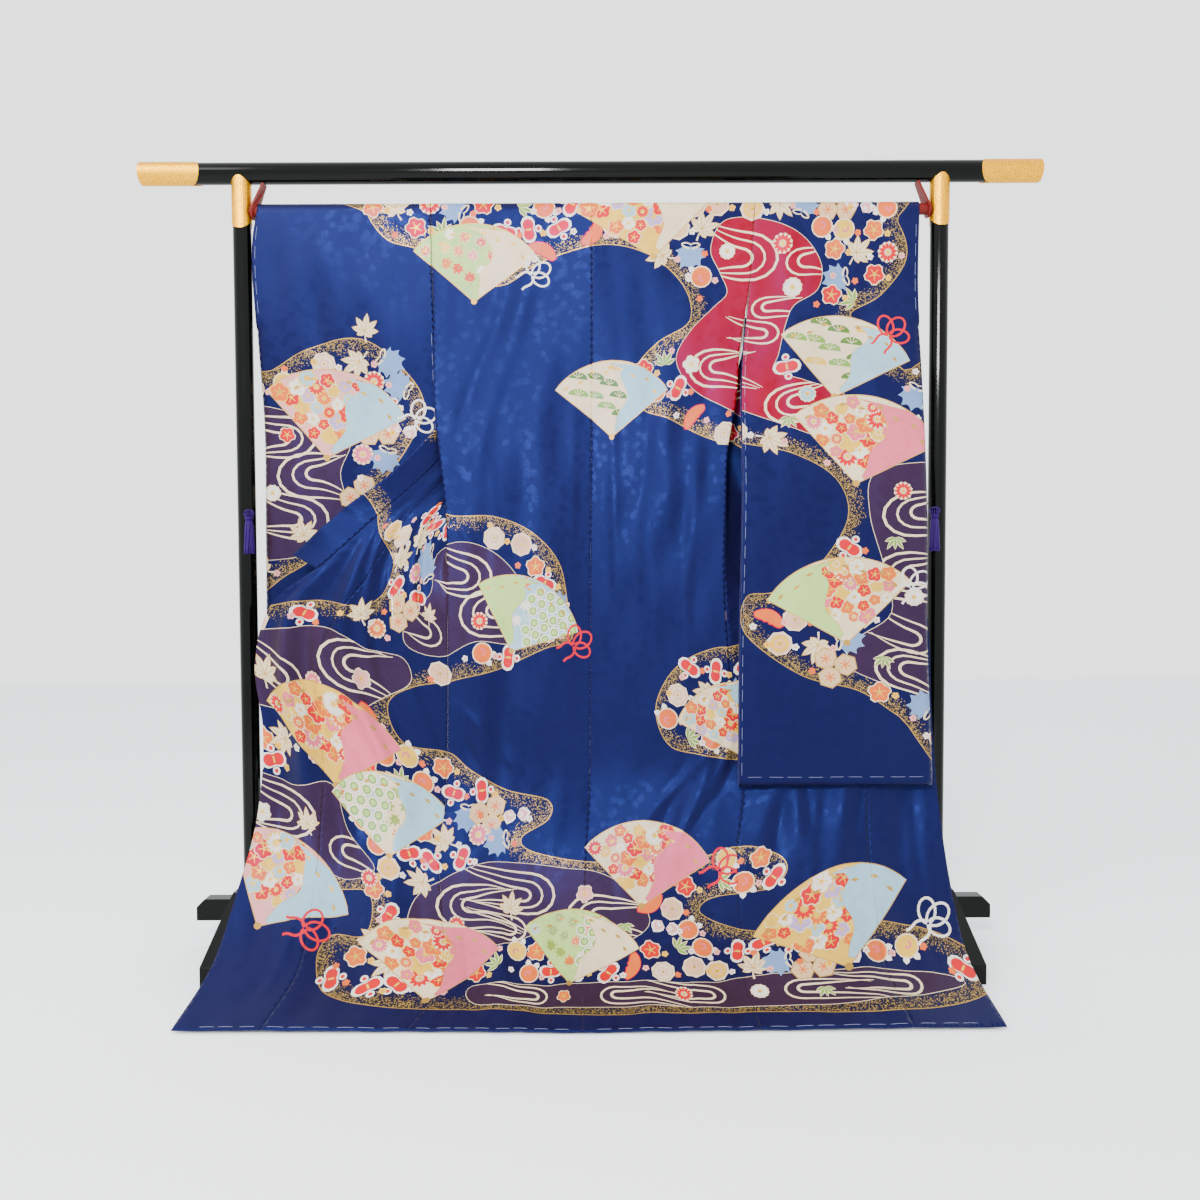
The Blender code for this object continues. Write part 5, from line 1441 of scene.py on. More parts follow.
BREAST_CLOUD = [(0.34, 0.14), (0.45, 0.1), (0.56, 0.16), (0.6, 0.3), (0.66, 0.42), (0.7, 0.6),
                (0.62, 0.66), (0.5, 0.58), (0.42, 0.48), (0.33, 0.42), (0.28, 0.28)]
LAPEL_CLOUD = [(-0.28, 0.2), (-0.38, 0.14), (-0.5, 0.18), (-0.58, 0.26), (-0.66, 0.34), (-0.6, 0.42),
               (-0.46, 0.38), (-0.34, 0.4), (-0.28, 0.34)]
CLOUDS = (("BFG", GREAT_CLOUD), ("LBR", TOP_CLOUD), ("BG", SIDE_CLOUD), ("L", SLEEVE_CLOUD),
          ("L", FOOT_CLOUD), ("G", BREAST_CLOUD), ("F", LAPEL_CLOUD))
STREAMS = (
    ("BR", [(0.23, 0.1), (0.256, 0.045), (0.338, 0.045), (0.41, 0.075), (0.45, 0.13), (0.444, 0.18),
            (0.4, 0.21), (0.385, 0.25), (0.376, 0.305), (0.37, 0.34), (0.43, 0.36), (0.5, 0.39),
            (0.48, 0.47), (0.374, 0.44), (0.282, 0.405), (0.213, 0.37), (0.178, 0.315), (0.203, 0.26),
            (0.243, 0.215), (0.268, 0.185), (0.25, 0.145)],
     "crimson", ((0.3, 0.115, 6, (0.018, 0.032, 0.046), 0.08), (0.415, 0.125, 174, (0.013, 0.026), 0.05),
                 (0.345, 0.215, 172, (0.009, 0.02), 0.08),
                 (0.255, 0.332, 178, (0.012, 0.024, 0.036), 0.08), (0.345, 0.265, 4, (0.009, 0.021), 0.07),
                 (0.4, 0.405, 166, (0.012, 0.024, 0.036), 0.1))),
    ("R", [(0.55, 0.54), (0.65, 0.52), (0.72, 0.54), (0.72, 1.02), (0.64, 0.975), (0.56, 0.945),
           (0.5, 0.91), (0.52, 0.86), (0.58, 0.81), (0.565, 0.72), (0.54, 0.62)],
     "purple", ((0.62, 0.62, 175, (0.014, 0.028, 0.042), 0.07),
                (0.61, 0.74, -178, (0.018, 0.032, 0.046), 0.07), (0.62, 0.86, 20, (0.014, 0.028), 0.09),
                (0.6, 0.92, -165, (0.014, 0.026, 0.038), 0.09))),
    ("L", [(-0.7, 0.42), (-0.59, 0.41), (-0.53, 0.44), (-0.48, 0.47), (-0.5, 0.53), (-0.49, 0.6),
           (-0.53, 0.66), (-0.6, 0.7), (-0.7, 0.67)],
     "purple", ((-0.6, 0.46, 0, (0.012, 0.026, 0.04), 0.09),
                (-0.56, 0.535, 178, (0.014, 0.028, 0.044), 0.07),
                (-0.58, 0.62, 8, (0.014, 0.028, 0.042), 0.1))),
    ("BF", [(-0.29, 0.67), (-0.21, 0.69), (-0.15, 0.75), (-0.12, 0.83), (-0.17, 0.87), (-0.25, 0.865),
            (-0.33, 0.9), (-0.4, 0.9), (-0.41, 0.84), (-0.36, 0.78), (-0.37, 0.71)],
     "purple", ((-0.27, 0.735, 10, (0.014, 0.028, 0.042), 0.08),
                (-0.22, 0.81, 176, (0.014, 0.03, 0.046), 0.08), (-0.36, 0.86, 4, (0.012, 0.026), 0.05))),
    ("F", [(-0.4, 0.93), (-0.47, 0.945), (-0.55, 0.94), (-0.62, 0.97), (-0.7, 1.01), (-0.74, 1.1),
           (-0.62, 1.11), (-0.55, 1.08), (-0.48, 1.06), (-0.43, 1.02), (-0.38, 0.97)],
     "purple", ((-0.5, 0.985, 170, (0.014, 0.028, 0.042), 0.09), (-0.62, 1.05, 8, (0.014, 0.028), 0.09))),
    ("F", [(-0.72, 1.23), (-0.62, 1.23), (-0.54, 1.21), (-0.5, 1.28), (-0.44, 1.34), (-0.5, 1.37),
           (-0.58, 1.35), (-0.66, 1.33), (-0.76, 1.31)],
     "purple", ((-0.62, 1.28, 0, (0.012, 0.026, 0.04), 0.1), (-0.5, 1.32, 184, (0.012, 0.026), 0.08))),
    ("BF", [(-0.3, 1.33), (-0.22, 1.3), (-0.14, 1.3), (-0.05, 1.31), (0.03, 1.32), (0.1, 1.36),
            (0.13, 1.42), (0.08, 1.46), (-0.02, 1.45), (-0.1, 1.44), (-0.2, 1.47), (-0.29, 1.47),
            (-0.37, 1.45), (-0.36, 1.38)],
     "purple", ((-0.26, 1.385, 178, (0.014, 0.028, 0.044), 0.12),
                (-0.12, 1.36, 4, (0.012, 0.026, 0.04), 0.16),
                (0.02, 1.405, -176, (0.014, 0.028, 0.042), 0.14), (-0.16, 1.43, 6, (0.012, 0.024), 0.1))),
    ("BG", [(-0.24, 1.555), (-0.1, 1.55), (0.05, 1.545), (0.2, 1.55), (0.35, 1.54), (0.5, 1.55),
            (0.63, 1.57), (0.67, 1.595), (0.5, 1.61), (0.3, 1.608), (0.1, 1.603), (-0.1, 1.6),
            (-0.22, 1.595)],
     "purple", ((-0.1, 1.575, 0, (0.008, 0.018), 0.12), (0.06, 1.575, 180, (0.008, 0.019), 0.14),
                (0.24, 1.577, 2, (0.009, 0.02), 0.14), (0.4, 1.577, 180, (0.008, 0.02), 0.14),
                (0.58, 1.585, 2, (0.008, 0.018), 0.12))),
    ("G",
     [(0.44, 0.22), (0.54, 0.24), (0.58, 0.36), (0.62, 0.48), (0.56, 0.54), (0.48, 0.44), (0.42, 0.32)],
     "crimson", ((0.5, 0.3, 8, (0.014, 0.028), 0.08), (0.54, 0.42, 176, (0.014, 0.028, 0.04), 0.07))),
)
CLOUD_CURVES = [(on, cloud(on, outline)) for on, outline in CLOUDS]
STREAM_CURVES = [stream(*row) for row in STREAMS]
print("clouds", len(CLOUDS), "streams", len(STREAMS), "patches", len(PATCHES))

# %% Treasures, loose leaves and fans
for number, (on, curve) in enumerate(CLOUD_CURVES):
    strew(on, curve, STREAM_CURVES, STREW_STEP, 5 + 3 * number)
LOOSE = (
    (maple, "L", -0.44, 0.255, 32, 10, "cream"), (plum, "L", -0.6, 0.455, 17, 0, "red"),
    (mum, "L", -0.63, 0.57, 17, 0, "white"), (maple, "L", -0.57, 0.655, 34, -15, "cream"),
    (mum, "BR", 0.262, 0.105, 16, 0, "white"), (mum, "BR", 0.37, 0.09, 21, 0, "red"),
    (mum, "R", 0.395, 0.175, 20, 0, "white"), (plum, "B", 0.21, 0.325, 19, 20, "white"),
    (mum, "R", 0.43, 0.385, 17, 0, "sky"), (bamboo, "R", 0.395, 0.43, 26, 0, "leaf"),
    (mum, "R", 0.6, 0.575, 18, 0, "red"), (bamboo, "R", 0.585, 0.665, 28, 0, "leaf"),
    (mum, "R", 0.62, 0.78, 18, 0, "white"), (bamboo, "R", 0.565, 0.895, 27, 10, "leaf"),
    (mum, "B", -0.24, 0.825, 18, 0, "red"), (maple, "F", -0.36, 0.83, 26, 0, "cream"),
    (plum, "F", -0.47, 1.0, 19, 0, "rose"), (maple, "F", -0.66, 1.06, 34, 12, "cream"),
    (mum, "F", -0.56, 1.04, 17, 0, "pink"), (maple, "F", -0.58, 1.29, 30, -12, "cream"),
    (plum, "F", -0.68, 1.29, 18, 0, "white"), (mum, "F", -0.45, 1.36, 17, 0, "red"),
    (maple, "B", -0.16, 1.39, 34, 8, "cream"), (mum, "B", -0.28, 1.42, 18, 0, "red"),
    (plum, "B", 0.0, 1.36, 19, 0, "rose"), (bamboo, "B", 0.08, 1.42, 28, 0, "leaf"),
    (mum, "B", 0.19, 1.575, 17, 0, "red"), (bamboo, "G", 0.44, 1.575, 24, 0, "leaf"),
    (mum, "G", 0.33, 1.575, 16, 0, "white"), (plum, "B", -0.04, 1.575, 15, 0, "orange"),
    (mum, "G", 0.54, 0.34, 17, 0, "white"),
)
for draw, on, x, s, size, turn, dye in LOOSE:
    draw(on, x, s, size * MM, turn, dye)
FANS = (
    ("LB", -0.23, 0.2, 0.15, 3, leaves_in, "green", "cream", 1),
    ("B", 0.12, 0.115, 0.175, -8, flowers_in, "yellow", "cream", 4),
    ("B", 0.045, 0.465, 0.148, 0, pines_in, "cream", "sky", 2),
    ("R", 0.48, 0.39, 0.158, 12, pines_in, "cream", "sky", 5),
    ("R", 0.515, 0.56, 0.172, 12, flowers_in, "cream", "pink", 7),
    ("R", 0.5, 0.868, 0.165, -8, flowers_in, "cream", "green", 3),
    ("L", -0.525, 0.5, 0.172, 12, flowers_in, "rose", "sky", 4),
    ("B", -0.172, 0.885, 0.15, 24, rings_in, "sky", "green", 3),
    ("F", -0.53, 1.21, 0.172, 0, flowers_in, "yellow", "pink", 5),
    ("F", -0.41, 1.31, 0.155, -4, rings_in, "cream", "sky", 2),
    ("F", -0.645, 1.48, 0.165, 22, flowers_in, "rose", "sky", 8),
    ("BF", -0.32, 1.59, 0.175, -2, flowers_in, "cream", "pink", 7),
    ("B", -0.03, 1.545, 0.155, 12, rings_in, "green", "cream", 1),
    ("B", 0.115, 1.385, 0.165, 6, flowers_in, "cream", "pink", 5),
    ("G", 0.49, 1.545, 0.185, -8, flowers_in, "yellow", "sky", 10),
    ("BG", 0.31, 1.095, 0.145, -10, flowers_in, "cream", "sky", 2),
    ("L", -0.44, 1.01, 0.16, 8, flowers_in, "cream", "pink", 7),
    ("G", 0.42, 0.42, 0.165, -10, flowers_in, "rose", "green", 3),
    ("F", -0.46, 0.35, 0.16, 8, leaves_in, "sky", "green", 4),
)
for row in FANS:
    fan(*row)
KNOTS = (("B", -0.115, 0.150, 38, 60, "white"), ("R", 0.585, 0.27, 42, 40, "red"),
         ("R", 0.615, 0.76, 40, 50, "white"), ("L", -0.35, 0.425, 40, 70, "white"),
         ("B", -0.035, 0.875, 42, 60, "red"), ("F", -0.56, 1.475, 44, 90, "red"),
         ("B", 0.275, 1.315, 46, 60, "red"), ("G", 0.645, 1.49, 44, 60, "white"),
         ("L", -0.33, 0.93, 40, 60, "red"))
for on, x, s, size, turn, dye in KNOTS:
    knot(on, x, s, size * MM, turn, dye)
print("patches in all", len(PATCHES), "corners", sum(len(item[1]) for item in PATCHES))

# %% [markdown]
# ## From the pattern to each width
# The pattern is drawn once, over the whole back and the fronts and sleeves spread beside it. Each
# width then takes what falls on it. The far layer of a sleeve shows the other sleeve's pattern,
# as a pair of sleeves is often dyed from one drawing.

# %% Patches of one width
# An outline whose area is under this share of its length's square is too thin to dye
SLIVER = 0.0008
LONGEST_SIDE = 10 * MM
# A width takes patches that reach this far over its shoulder fold, and an overlap width this wide
OVER_SHOULDER = 0.02
OKUMI_ROOM = 0.16


def mapped(letters, to_flat, low, high):
    """The patches on some widths, in a width's own flat places, with those that miss it left out."""
    numbers, taken = {}, []
    for number, (on, outline, colour, gilt, dust, ground) in enumerate(PATCHES):
        if not set(on) & set(letters) or (ground is not None and ground not in numbers):
            continue
        flat = to_flat(outline)
        if (flat.max(axis=0) < low).any() or (flat.min(axis=0) > high).any() or is_sliver(flat):
            continue
        numbers[number] = len(taken)
        if np.linalg.norm(np.roll(flat, -1, axis=0) - flat, axis=1).max() > LONGEST_SIDE:
            flat = outline_steps([tuple(place) for place in flat], LONGEST_SIDE)
        taken.append((flat, colour, gilt, dust, None if ground is None else numbers[ground]))
    return taken


def is_sliver(outline):
    """True when an outline has next to no area for its length."""
    x, y = outline.T
    area = abs(np.sum(x * np.roll(y, -1) - np.roll(x, -1) * y)) / 2
    length = np.sum(np.linalg.norm(np.roll(outline, -1, axis=0) - outline, axis=1))
    return area < SLIVER * length ** 2


def joined(*lists):
    """Several lists of patches as one, with the numbers of their grounds moved on."""
    both = []
    for patches in lists:
        start = len(both)
        both += [(*item[:4], None if item[4] is None else item[4] + start) for item in patches]
    return both


def body_patches(side):
    """A body width: its back half is half of the drawing's middle, its front half is one front."""
    def to_back(p):
        return zipped(BODY_WIDTH - side * p[:, 0], -p[:, 1])

    def to_front(p):
        return zipped((side * p[:, 0] - BODY_WIDTH) / FRONT_WIDTH * FRONT_ACROSS, p[:, 1])

    return joined(mapped("B", to_back, (0, -HEM), (BODY_WIDTH, OVER_SHOULDER)),
                  mapped("F" if side < 0 else "G", to_front, (0, 0), (FRONT_ACROSS, HEM)))


def okumi_patches(side):
    """An overlap width: what goes on past the front's own width."""
    def to_flat(p):
        return zipped(side * p[:, 0] - BODY_WIDTH - FRONT_WIDTH, p[:, 1])

    return mapped("F" if side < 0 else "G", to_flat, (0, OKUMI_TOP), (OKUMI_ROOM, HEM))


def sleeve_patches(side):
    """A sleeve: its near layer has its own drawing, its far layer that of the other sleeve."""
    near, far = ("L", "R") if side < 0 else ("R", "L")
    other = -1 if far == "L" else 1

    def to_near(p):
        return zipped(side * p[:, 0] - BODY_WIDTH, -p[:, 1])

    def to_far(p):
        return zipped(other * p[:, 0] - BODY_WIDTH, np.maximum(p[:, 1], 0))

    return joined(mapped(near, to_near, (0, -SLEEVE_FOOT), (SLEEVE_WIDTH, OVER_SHOULDER)),
                  mapped(far, to_far, (0, 0), (SLEEVE_WIDTH, SLEEVE_FOOT)))


def collar_patches():
    """On the collar the pattern goes on from each front's edge; round the neck the cloth is plain."""
    leg = FINE_ROWS[(FINE_ROWS > NECK_TURN - 1e-6) & (FINE_ROWS <= COLLAR_END + 1e-6)]
    runs = {-1: COLLAR_RUN[:len(leg)][::-1], 1: COLLAR_RUN[-len(leg):]}
    lists = []
    for side, letter in ((-1, "F"), (1, "G")):
        def to_flat(p, side=side):
            edge = BODY_WIDTH + FRONT_WIDTH + np.interp(p[:, 1], *np.array(OKUMI_WIDTH).T)
            beyond = p[:, 1] - np.clip(p[:, 1], leg[0], leg[-1])
            run = np.interp(p[:, 1], leg, runs[side]) + side * beyond
            return zipped(side * p[:, 0] - edge, run)
        lists.append(mapped(letter, to_flat, (0, 0), (COLLAR_WIDTH, float(COLLAR_RUN[-1]))))
    return joined(*lists)

# %% Make the cloth
COLLAR_LAYERS = 2.4 * MM
CLOTH = {}
for side, word in ((-1, "left"), (1, "right")):
    CLOTH["body", side] = lay_cloth(f"silk_body_{word}", BODY_OUTLINE, lift_body(side),
                                    body_patches(side), BODY_FACINGS, GROUND)
    CLOTH["okumi", side] = lay_cloth(f"silk_overlap_{word}", OKUMI_OUTLINE, lift_okumi(side),
                                     okumi_patches(side), OKUMI_FACINGS, GROUND)
    CLOTH["sleeve", side] = lay_cloth(f"silk_sleeve_{word}", SLEEVE_OUTLINE, lift_sleeve(side),
                                      sleeve_patches(side), SLEEVE_FACINGS, PIPING)
    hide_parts(f"body_{word}")
    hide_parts(f"okumi_{word}")
    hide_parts(f"sleeve_{word}")
CLOTH["collar"] = lay_cloth("silk_collar", COLLAR_OUTLINE, lift_collar, collar_patches(), COLLAR_FACINGS,
                            GROUND, wall=COLLAR_LAYERS)
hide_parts("collar")

# %% [markdown]
# ## Silk
# Kimono silk is a satin weave: smooth enough to gleam along its folds, soft enough not to mirror.
# One flat colour with a gloss would do from afar, but near to, silk shows its woven figure, its
# uneven dye and its grains of gold. So the finish reads the dye and the gilding painted on each
# net, and works its fine patterns out over the flat width, where a dyer would put them.

# %% The silk finish
# The scales say how many of a pattern go into a metre. Uneven dye spreads over 200 mm, gold dust
# lies in drifts of 38 mm, and the woven figure comes back every 17 mm. A grain of dust is 0.3 mm,
# a thread 0.1 mm and the crepe's pebbling 0.5 mm in real silk: too fine to show here, so a grain
# is drawn every 1.6 mm, a thread every 1.5 mm and the pebbling every 4 mm.
DYE_CLOUDS = 5.0
DUST_DRIFTS = 26.0
WOVEN_FIGURES = 58.0
DUST_GRAINS = 640.0
CREPE_PEBBLES = 240.0
# The wave pattern draws 10 / (2 * pi) bands for each unit of its scale
THREAD_SCALE = 420.0


def silk_material():
    """Satin-weave figured silk, dyed by hand, with a gilded line and gold dust strewn on wet paste.

    The dye is in the thread. A small woven figure turns the satin and so changes its gloss a little;
    its colour is also drawn a little lighter or darker there, as a painted sheen.
    Gold dust is a fine grain whose grains are the fewer, the lower the dust value painted there.
    """
    made, tree, shader = new_material("hand_dyed_figured_satin")
    flat = add(tree, "UVMap", {}, uv_map="flat_cloth")
    dye = add(tree, "VertexColor", {}, layer_name="dye")
    finish = add(tree, "VertexColor", {}, layer_name="finish")
    parts = add(tree, "SeparateColor", {"Color": finish.outputs["Color"]})
    gilt, dust = parts.outputs["Red"], parts.outputs["Green"]
    slow = add(tree, "TexNoise", {"Vector": flat, "Scale": DUST_DRIFTS, "Detail": 2.0})
    blown = add(tree, "Math", {0: dust, 1: slow.outputs["Fac"]}, operation="MULTIPLY")
    thick = add(tree, "MapRange", {"Value": blown, "From Min": 0.10, "From Max": 0.55})
    sparse = add(tree, "Math", {0: thick, 1: 0.36}, operation="MULTIPLY")
    grain = add(tree, "TexVoronoi", {"Vector": flat, "Scale": DUST_GRAINS})
    grain_tone = add(tree, "SeparateColor", {"Color": grain.outputs["Color"]})
    grains = add(tree, "Math", {0: grain_tone.outputs["Red"], 1: sparse}, operation="LESS_THAN")
    held = add(tree, "Math", {0: grains, 1: 0.85}, operation="MULTIPLY")
    brown = add(tree, "Mix", {"Factor": thick, 6: dye.outputs["Color"], 7: rgba("#191612")},
                data_type="RGBA")
    gold = add(tree, "Mix", {"Factor": held, 6: brown.outputs[2], 7: rgba("#96793A")}, data_type="RGBA")
    cloudy = add(tree, "TexNoise", {"Vector": flat, "Scale": DYE_CLOUDS, "Detail": 3.0})
    uneven = add(tree, "MapRange", {"Value": cloudy.outputs["Fac"], "From Min": 0.3, "From Max": 0.7,
                                    "To Min": 0.9, "To Max": 1.1})
    figure = add(tree, "TexVoronoi", {"Vector": flat, "Scale": WOVEN_FIGURES}, feature="SMOOTH_F1")
    edge = add(tree, "MapRange", {"Value": figure.outputs["Distance"], "From Min": 0.30, "From Max": 0.42})
    gloss = add(tree, "MapRange", {"Value": edge, "To Min": 0.29, "To Max": 0.39})
    # Painted sheen: the woven figure makes the dye's colour a little lighter or darker, as its turned
    # threads would catch the light
    figured = add(tree, "MapRange", {"Value": edge, "To Min": 0.965, "To Max": 1.02})
    tone = add(tree, "Math", {0: uneven, 1: figured}, operation="MULTIPLY")
    washed = add(tree, "VectorMath", {0: gold.outputs[2], "Scale": tone}, operation="SCALE")
    metal = add(tree, "Math", {0: gilt, 1: held}, operation="MAXIMUM")
    part_metal = add(tree, "Math", {0: metal, 1: 0.55}, operation="MULTIPLY")
    weave = add(tree, "TexWave", {"Vector": flat, "Scale": THREAD_SCALE, "Distortion": 1.5},
                bands_direction="DIAGONAL")
    crepe = add(tree, "TexNoise", {"Vector": flat, "Scale": CREPE_PEBBLES, "Detail": 2.0})
    relief = add(tree, "Math", {0: crepe.outputs["Fac"], 1: weave.outputs["Fac"]}, operation="ADD")
    bump = add(tree, "Bump", {"Strength": 0.22, "Distance": 0.4 * MM, "Height": relief})
    feed(shader, {"Base Color": washed, "Roughness": gloss, "Metallic": part_metal,
                  "Normal": bump.outputs["Normal"], "Specular IOR Level": 0.26,
                  "Specular Tint": rgba("#5C7CFF"), "Sheen Weight": 0.04, "Sheen Roughness": 0.35,
                  "Sheen Tint": rgba("#5B82E8")})
    return made


SILK = silk_material()
for item in CLOTH.values():
    dress(item, SILK)

# %% [markdown]
# ## Lacquer and gilding
# The stand is wood under many coats of black lacquer, polished until it mirrors. Its rail ends
# and post tops wear thin gilt sheaths, stippled all over with a small round punch. The pits
# could be cut into the sheaths, but they are far less than a millimetre deep, so a bump and a
# painted shade in each pit stand for them. The solids themselves are used as they are and
# only coated.

# %% Finishes of the stand
# In a metre: one swell of brushed lacquer for every 56 mm, one punched pit for every 3 mm
LACQUER_SWELLS = 18.0
PUNCHED_PITS = 330.0


def lacquer(name, colour, roughness):
    """Polished lacquer: a deep colour with a clear gloss and the faint waviness that brushing leaves."""
    made, tree, shader = new_material(name)
    place = add(tree, "TexCoord", {})
    wave = add(tree, "TexNoise", {"Vector": place.outputs["Object"], "Scale": LACQUER_SWELLS,
                                  "Detail": 2.0})
    wear = add(tree, "MapRange", {"Value": wave.outputs["Fac"], "To Min": roughness * 0.7,
                                  "To Max": roughness * 1.4})
    bump = add(tree, "Bump", {"Strength": 0.10, "Distance": 0.5 * MM, "Height": wave.outputs["Fac"]})
    feed(shader, {"Base Color": rgba(colour), "Roughness": wear, "Normal": bump.outputs["Normal"],
                  "Specular IOR Level": 0.12})
    return made


def gilding():
    """Gilt brass with punched stippling: shallow round pits, each with a painted shade that is darkest at
    its middle.
    """
    made, tree, shader = new_material("punched_gilt_brass")
    place = add(tree, "TexCoord", {})
    pits = add(tree, "TexVoronoi", {"Vector": place.outputs["Object"], "Scale": PUNCHED_PITS})
    deep = add(tree, "MapRange", {"Value": pits.outputs["Distance"], "From Min": 0.10, "From Max": 0.45})
    # Painted shade: the gilt is mixed darker towards the middle of each pit, where the bump is lowest
    tone = add(tree, "Mix", {"Factor": deep, 6: rgba("#9C6000"), 7: rgba("#EAA800")}, data_type="RGBA")
    bump = add(tree, "Bump", {"Strength": 0.55, "Distance": 0.5 * MM, "Height": deep})
    feed(shader, {"Base Color": tone.outputs[2], "Normal": bump.outputs["Normal"], "Metallic": 1.0,
                  "Roughness": 0.42})
    return made


BLACK_LACQUER = lacquer("polished_black_lacquer", "#020302", 0.10)
RED_LACQUER = lacquer("dull_cinnabar_lacquer", "#5A1512", 0.40)
GILDING = gilding()
for name in ("top_rail", "lower_rail", "post_left", "post_right", "foot_left", "foot_right"):
    dress(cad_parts[name], BLACK_LACQUER)
for name in ("rail_cap_left", "rail_cap_right", "post_sleeve_left", "post_sleeve_right"):
    dress(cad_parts[name], GILDING)
for name in ("hook_left", "hook_right", "hanging_rod"):
    dress(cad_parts[name], RED_LACQUER)

# %% [markdown]
# ## Tassels and basting
# A tassel of twisted silk hangs on each post. The long white basting stitches round the hem and
# the sleeves keep the layers flat until the kimono is worn, and are pulled out then. A tassel
# could be one turned form, but its strands catch the light one by one, so each is a thread of its
# own. A stitch is a short thread, lifted from the flat width as the cloth is, so it lies on it.

# %% Round threads along paths
def threads(name, paths, radius, sides=5):
    """One mesh of round threads: each is a tube of rings that stand square to its path, with closed ends."""
    points, faces = [], []
    angle = around(sides)
    corner = np.arange(sides)
    after = (corner + 1) % sides
    for path in paths:
        path = np.asarray(path, dtype=float)
        along = unit(np.gradient(path, axis=0))
        side = unit(np.cross(along, np.where(abs(along[:, 2:3]) > 0.9, (0.0, 1.0, 0.0), (0.0, 0.0, 1.0))))
        up = np.cross(side, along)
        ring = side[:, None] * np.cos(angle)[None, :, None] + up[:, None] * np.sin(angle)[None, :, None]
        first = len(points)
        points += list((path[:, None] + ring * radius).reshape(-1, 3))
        starts = first + sides * np.arange(len(path) - 1)[:, None]
        a, b = starts + corner, starts + after
        faces += np.stack([a, b, b + sides, a + sides], axis=2).reshape(-1, 4).tolist()
        faces.append(tuple(range(first + sides - 1, first - 1, -1)))
        faces.append(tuple(range(len(points) - sides, len(points))))
    mesh = bpy.data.meshes.new(name)
    mesh.from_pydata([tuple(p) for p in points], [], faces)
    mesh.shade_smooth()
    item = placed(name, mesh)
    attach(item, "root")
    return item

# %% Tassels
PURPLE_THREAD, _, shader = new_material("twisted_purple_silk")
feed(shader, {"Base Color": rgba("#22024C"), "Roughness": 0.5, "Specular IOR Level": 0.15})
STRAND = 0.9 * MM
NECK_DOWN = 20 * MM
UNEVEN_CUT = 1.5 * MM


def about(middle, out, angle, height):
    """Places at x + out * cos(angle), y + out * sin(angle) and a height, round a tassel's middle line."""
    places = middle[0] + out * np.cos(angle), middle[1] + out * np.sin(angle), height
    return np.stack(np.broadcast_arrays(*places), axis=1)


def tassel_paths(middle, top, foot, radius):
    """A wound head, a bound neck and a skirt of strands in two rings.

    A strand's distance from the middle grows as 0.55 + 0.45 * sqrt(u) on its way u down, so the
    skirt spreads a little to its foot.
    """
    paths = []
    for angle in around(16):
        down = np.linspace(0.06, 0.97, 8) * math.pi
        out = np.sin(down) * (radius - STRAND) * 0.9
        paths.append(about(middle, out, angle, top - STRAND - (1 - np.cos(down)) / 2 * NECK_DOWN * 0.85))
    for turn in range(3):
        angle = around(16)[list(range(16)) + [0]]
        paths.append(about(middle, radius * 0.62, angle, top - NECK_DOWN + turn * 1.8 * STRAND))
    for ring, count in ((0.93, 26), (0.60, 16)):
        for number, angle in enumerate(around(count, ring)):
            u = np.linspace(0, 1, 7)
            out = (radius - STRAND) * ring * (0.55 + 0.45 * np.sqrt(u))
            sway = angle + 0.10 * np.sin(3 * u + number * 1.7)
            fall = (top - NECK_DOWN) - u * (top - NECK_DOWN - foot - UNEVEN_CUT * (number * 5 % 4) / 3)
            paths.append(about(middle, out, sway, fall))
    return paths


for word in ("left", "right"):
    low, high = (np.array(corner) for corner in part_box(f"tassel_{word}"))
    strands = tassel_paths((low + high) / 2, high[2], low[2], (high - low)[0] / 2)
    tassel = threads(f"silk_tassel_{word}", strands, STRAND)
    dress(tassel, PURPLE_THREAD)
    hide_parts(f"tassel_{word}")
    print(tassel.name, len(tassel.data.polygons), "faces")

# %% Basting stitches
WHITE_THREAD, _, shader = new_material("white_cotton_basting")
feed(shader, {"Base Color": rgba("#8C93B6"), "Roughness": 0.8})
THREAD = 0.22 * MM
STITCH = 26 * MM
STITCH_GAP = 9 * MM
HEM_MARGIN = 6 * MM
SEAM_MARGIN = 0.004
OKUMI_END = 0.144
FOOT_MARGIN = 18 * MM
CUFF_MARGIN = 0.006
ARMHOLE_MARGIN = 0.005
ARMHOLE_START = 0.25
CUFF_START = 0.03


def stitch_paths(lift, start, end):
    """Running stitches on the dyed face, whose height over the cloth is a half sine, dipped at both ends."""
    start, end = np.array(start), np.array(end)
    run = np.linalg.norm(end - start)
    paths = []
    for number, at in enumerate(np.arange(STITCH_GAP, run - STITCH, STITCH + STITCH_GAP)):
        share = (at + 2 * MM * math.sin(number * 2.1) + np.linspace(0, STITCH, 7)) / run
        flat = start + (end - start) * share[:, None]
        points, normals = lift(flat)
        height = CLOTH_WALL / 2 + THREAD * (2.6 * np.sin(np.linspace(0, math.pi, 7)) - 0.9)
        paths.append(points + normals * height[:, None] + (0, POST_Y, 0))
    return paths


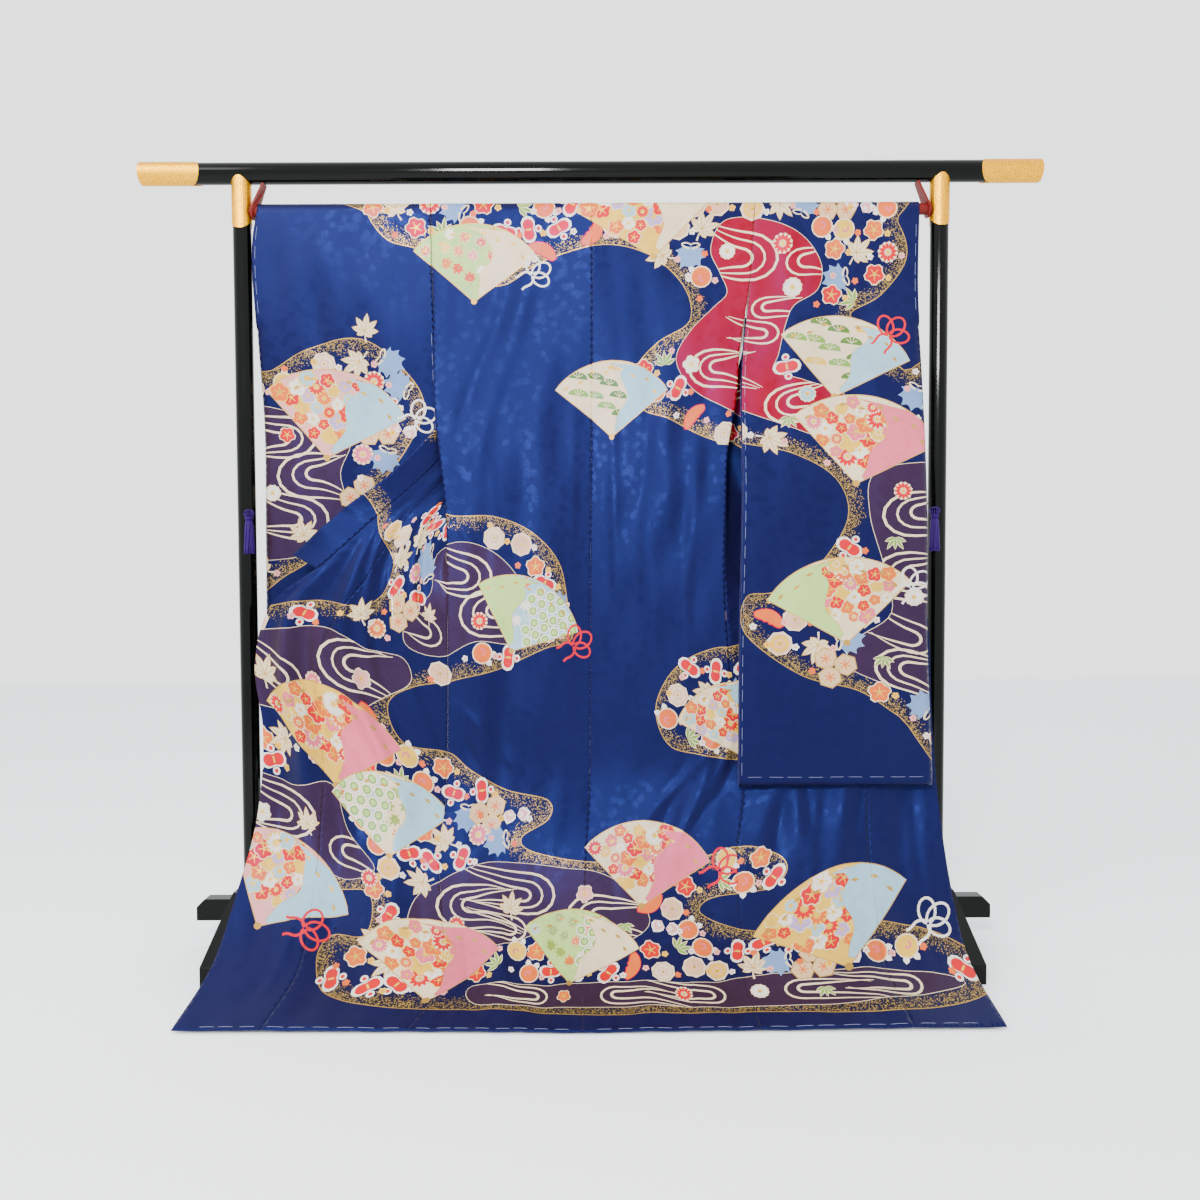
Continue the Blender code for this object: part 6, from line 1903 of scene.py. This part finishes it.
paths = []
row = HEM - HEM_MARGIN
for side in (-1, 1):
    body, sleeve = lift_body(side), lift_sleeve(side)
    paths += stitch_paths(body, (SEAM_MARGIN, -row), (BODY_WIDTH - SEAM_MARGIN, -row))
    paths += stitch_paths(body, (SEAM_MARGIN, row), (FRONT_ACROSS - SEAM_MARGIN, row))
    paths += stitch_paths(lift_okumi(side), (SEAM_MARGIN, row), (OKUMI_END, row))
    for face in (-1, 1):
        foot = face * (SLEEVE_FOOT - FOOT_MARGIN)
        paths += stitch_paths(sleeve, (CUFF_MARGIN, foot), (SLEEVE_WIDTH - 2 * CUFF_MARGIN, foot))
        paths += stitch_paths(sleeve, (ARMHOLE_MARGIN, face * ARMHOLE_START), (ARMHOLE_MARGIN, foot))
    edge = SLEEVE_WIDTH - CUFF_MARGIN
    paths += stitch_paths(sleeve, (edge, -CUFF), (edge, -CUFF_START))
stitches = threads("basting_stitches", paths, THREAD, 4)
dress(stitches, WHITE_THREAD)
print("stitches", len(paths))

# %% [markdown]
# ## The room
# A kimono is photographed before seamless pale paper, with a large soft lamp near the camera. A
# pale floor and pale air give the same even light from all round. One softbox to the left of the
# camera draws the folds, and a wider one high on the left lifts the shoulders.

# %% The floor and the lights
FLOOR_SIDE = 9.0
floor_mesh = bpy.data.meshes.new("studio_floor")
half = FLOOR_SIDE / 2
corners = [(-half, -half, 0), (half, -half, 0), (half, half, 0), (-half, half, 0)]
floor_mesh.from_pydata(corners, [], [(0, 1, 2, 3)])
floor = placed("studio_floor", floor_mesh)
PAPER, _, shader = new_material("pale_studio_paper")
feed(shader, {"Base Color": rgba("#EEF1F3"), "Roughness": 0.8})
dress(floor, PAPER)

world = bpy.data.worlds.new("studio_air")
bpy.context.scene.world = world
world.use_nodes = True
feed(world.node_tree.nodes["Background"], {"Color": rgba("#EEF0F2"), "Strength": 2.7})


def softbox(name, place, target, size, watts):
    """A soft rectangular light at a place, turned to its target."""
    lamp = bpy.data.lights.new(name, "AREA")
    lamp.shape = "SQUARE"
    lamp.size = size
    lamp.energy = watts
    holder = placed(name, lamp)
    holder.location = place
    holder.rotation_euler = (Vector(target) - Vector(place)).to_track_quat("-Z", "Y").to_euler()
    return holder


softbox("key_softbox", (-0.44, -2.5, 1.86), (-0.15, 0, 1.2), 0.45, 125)
softbox("high_softbox", (-1.9, -1.5, 2.9), (-0.2, 0, 1.1), 1.2, 60)
print("studio lit")
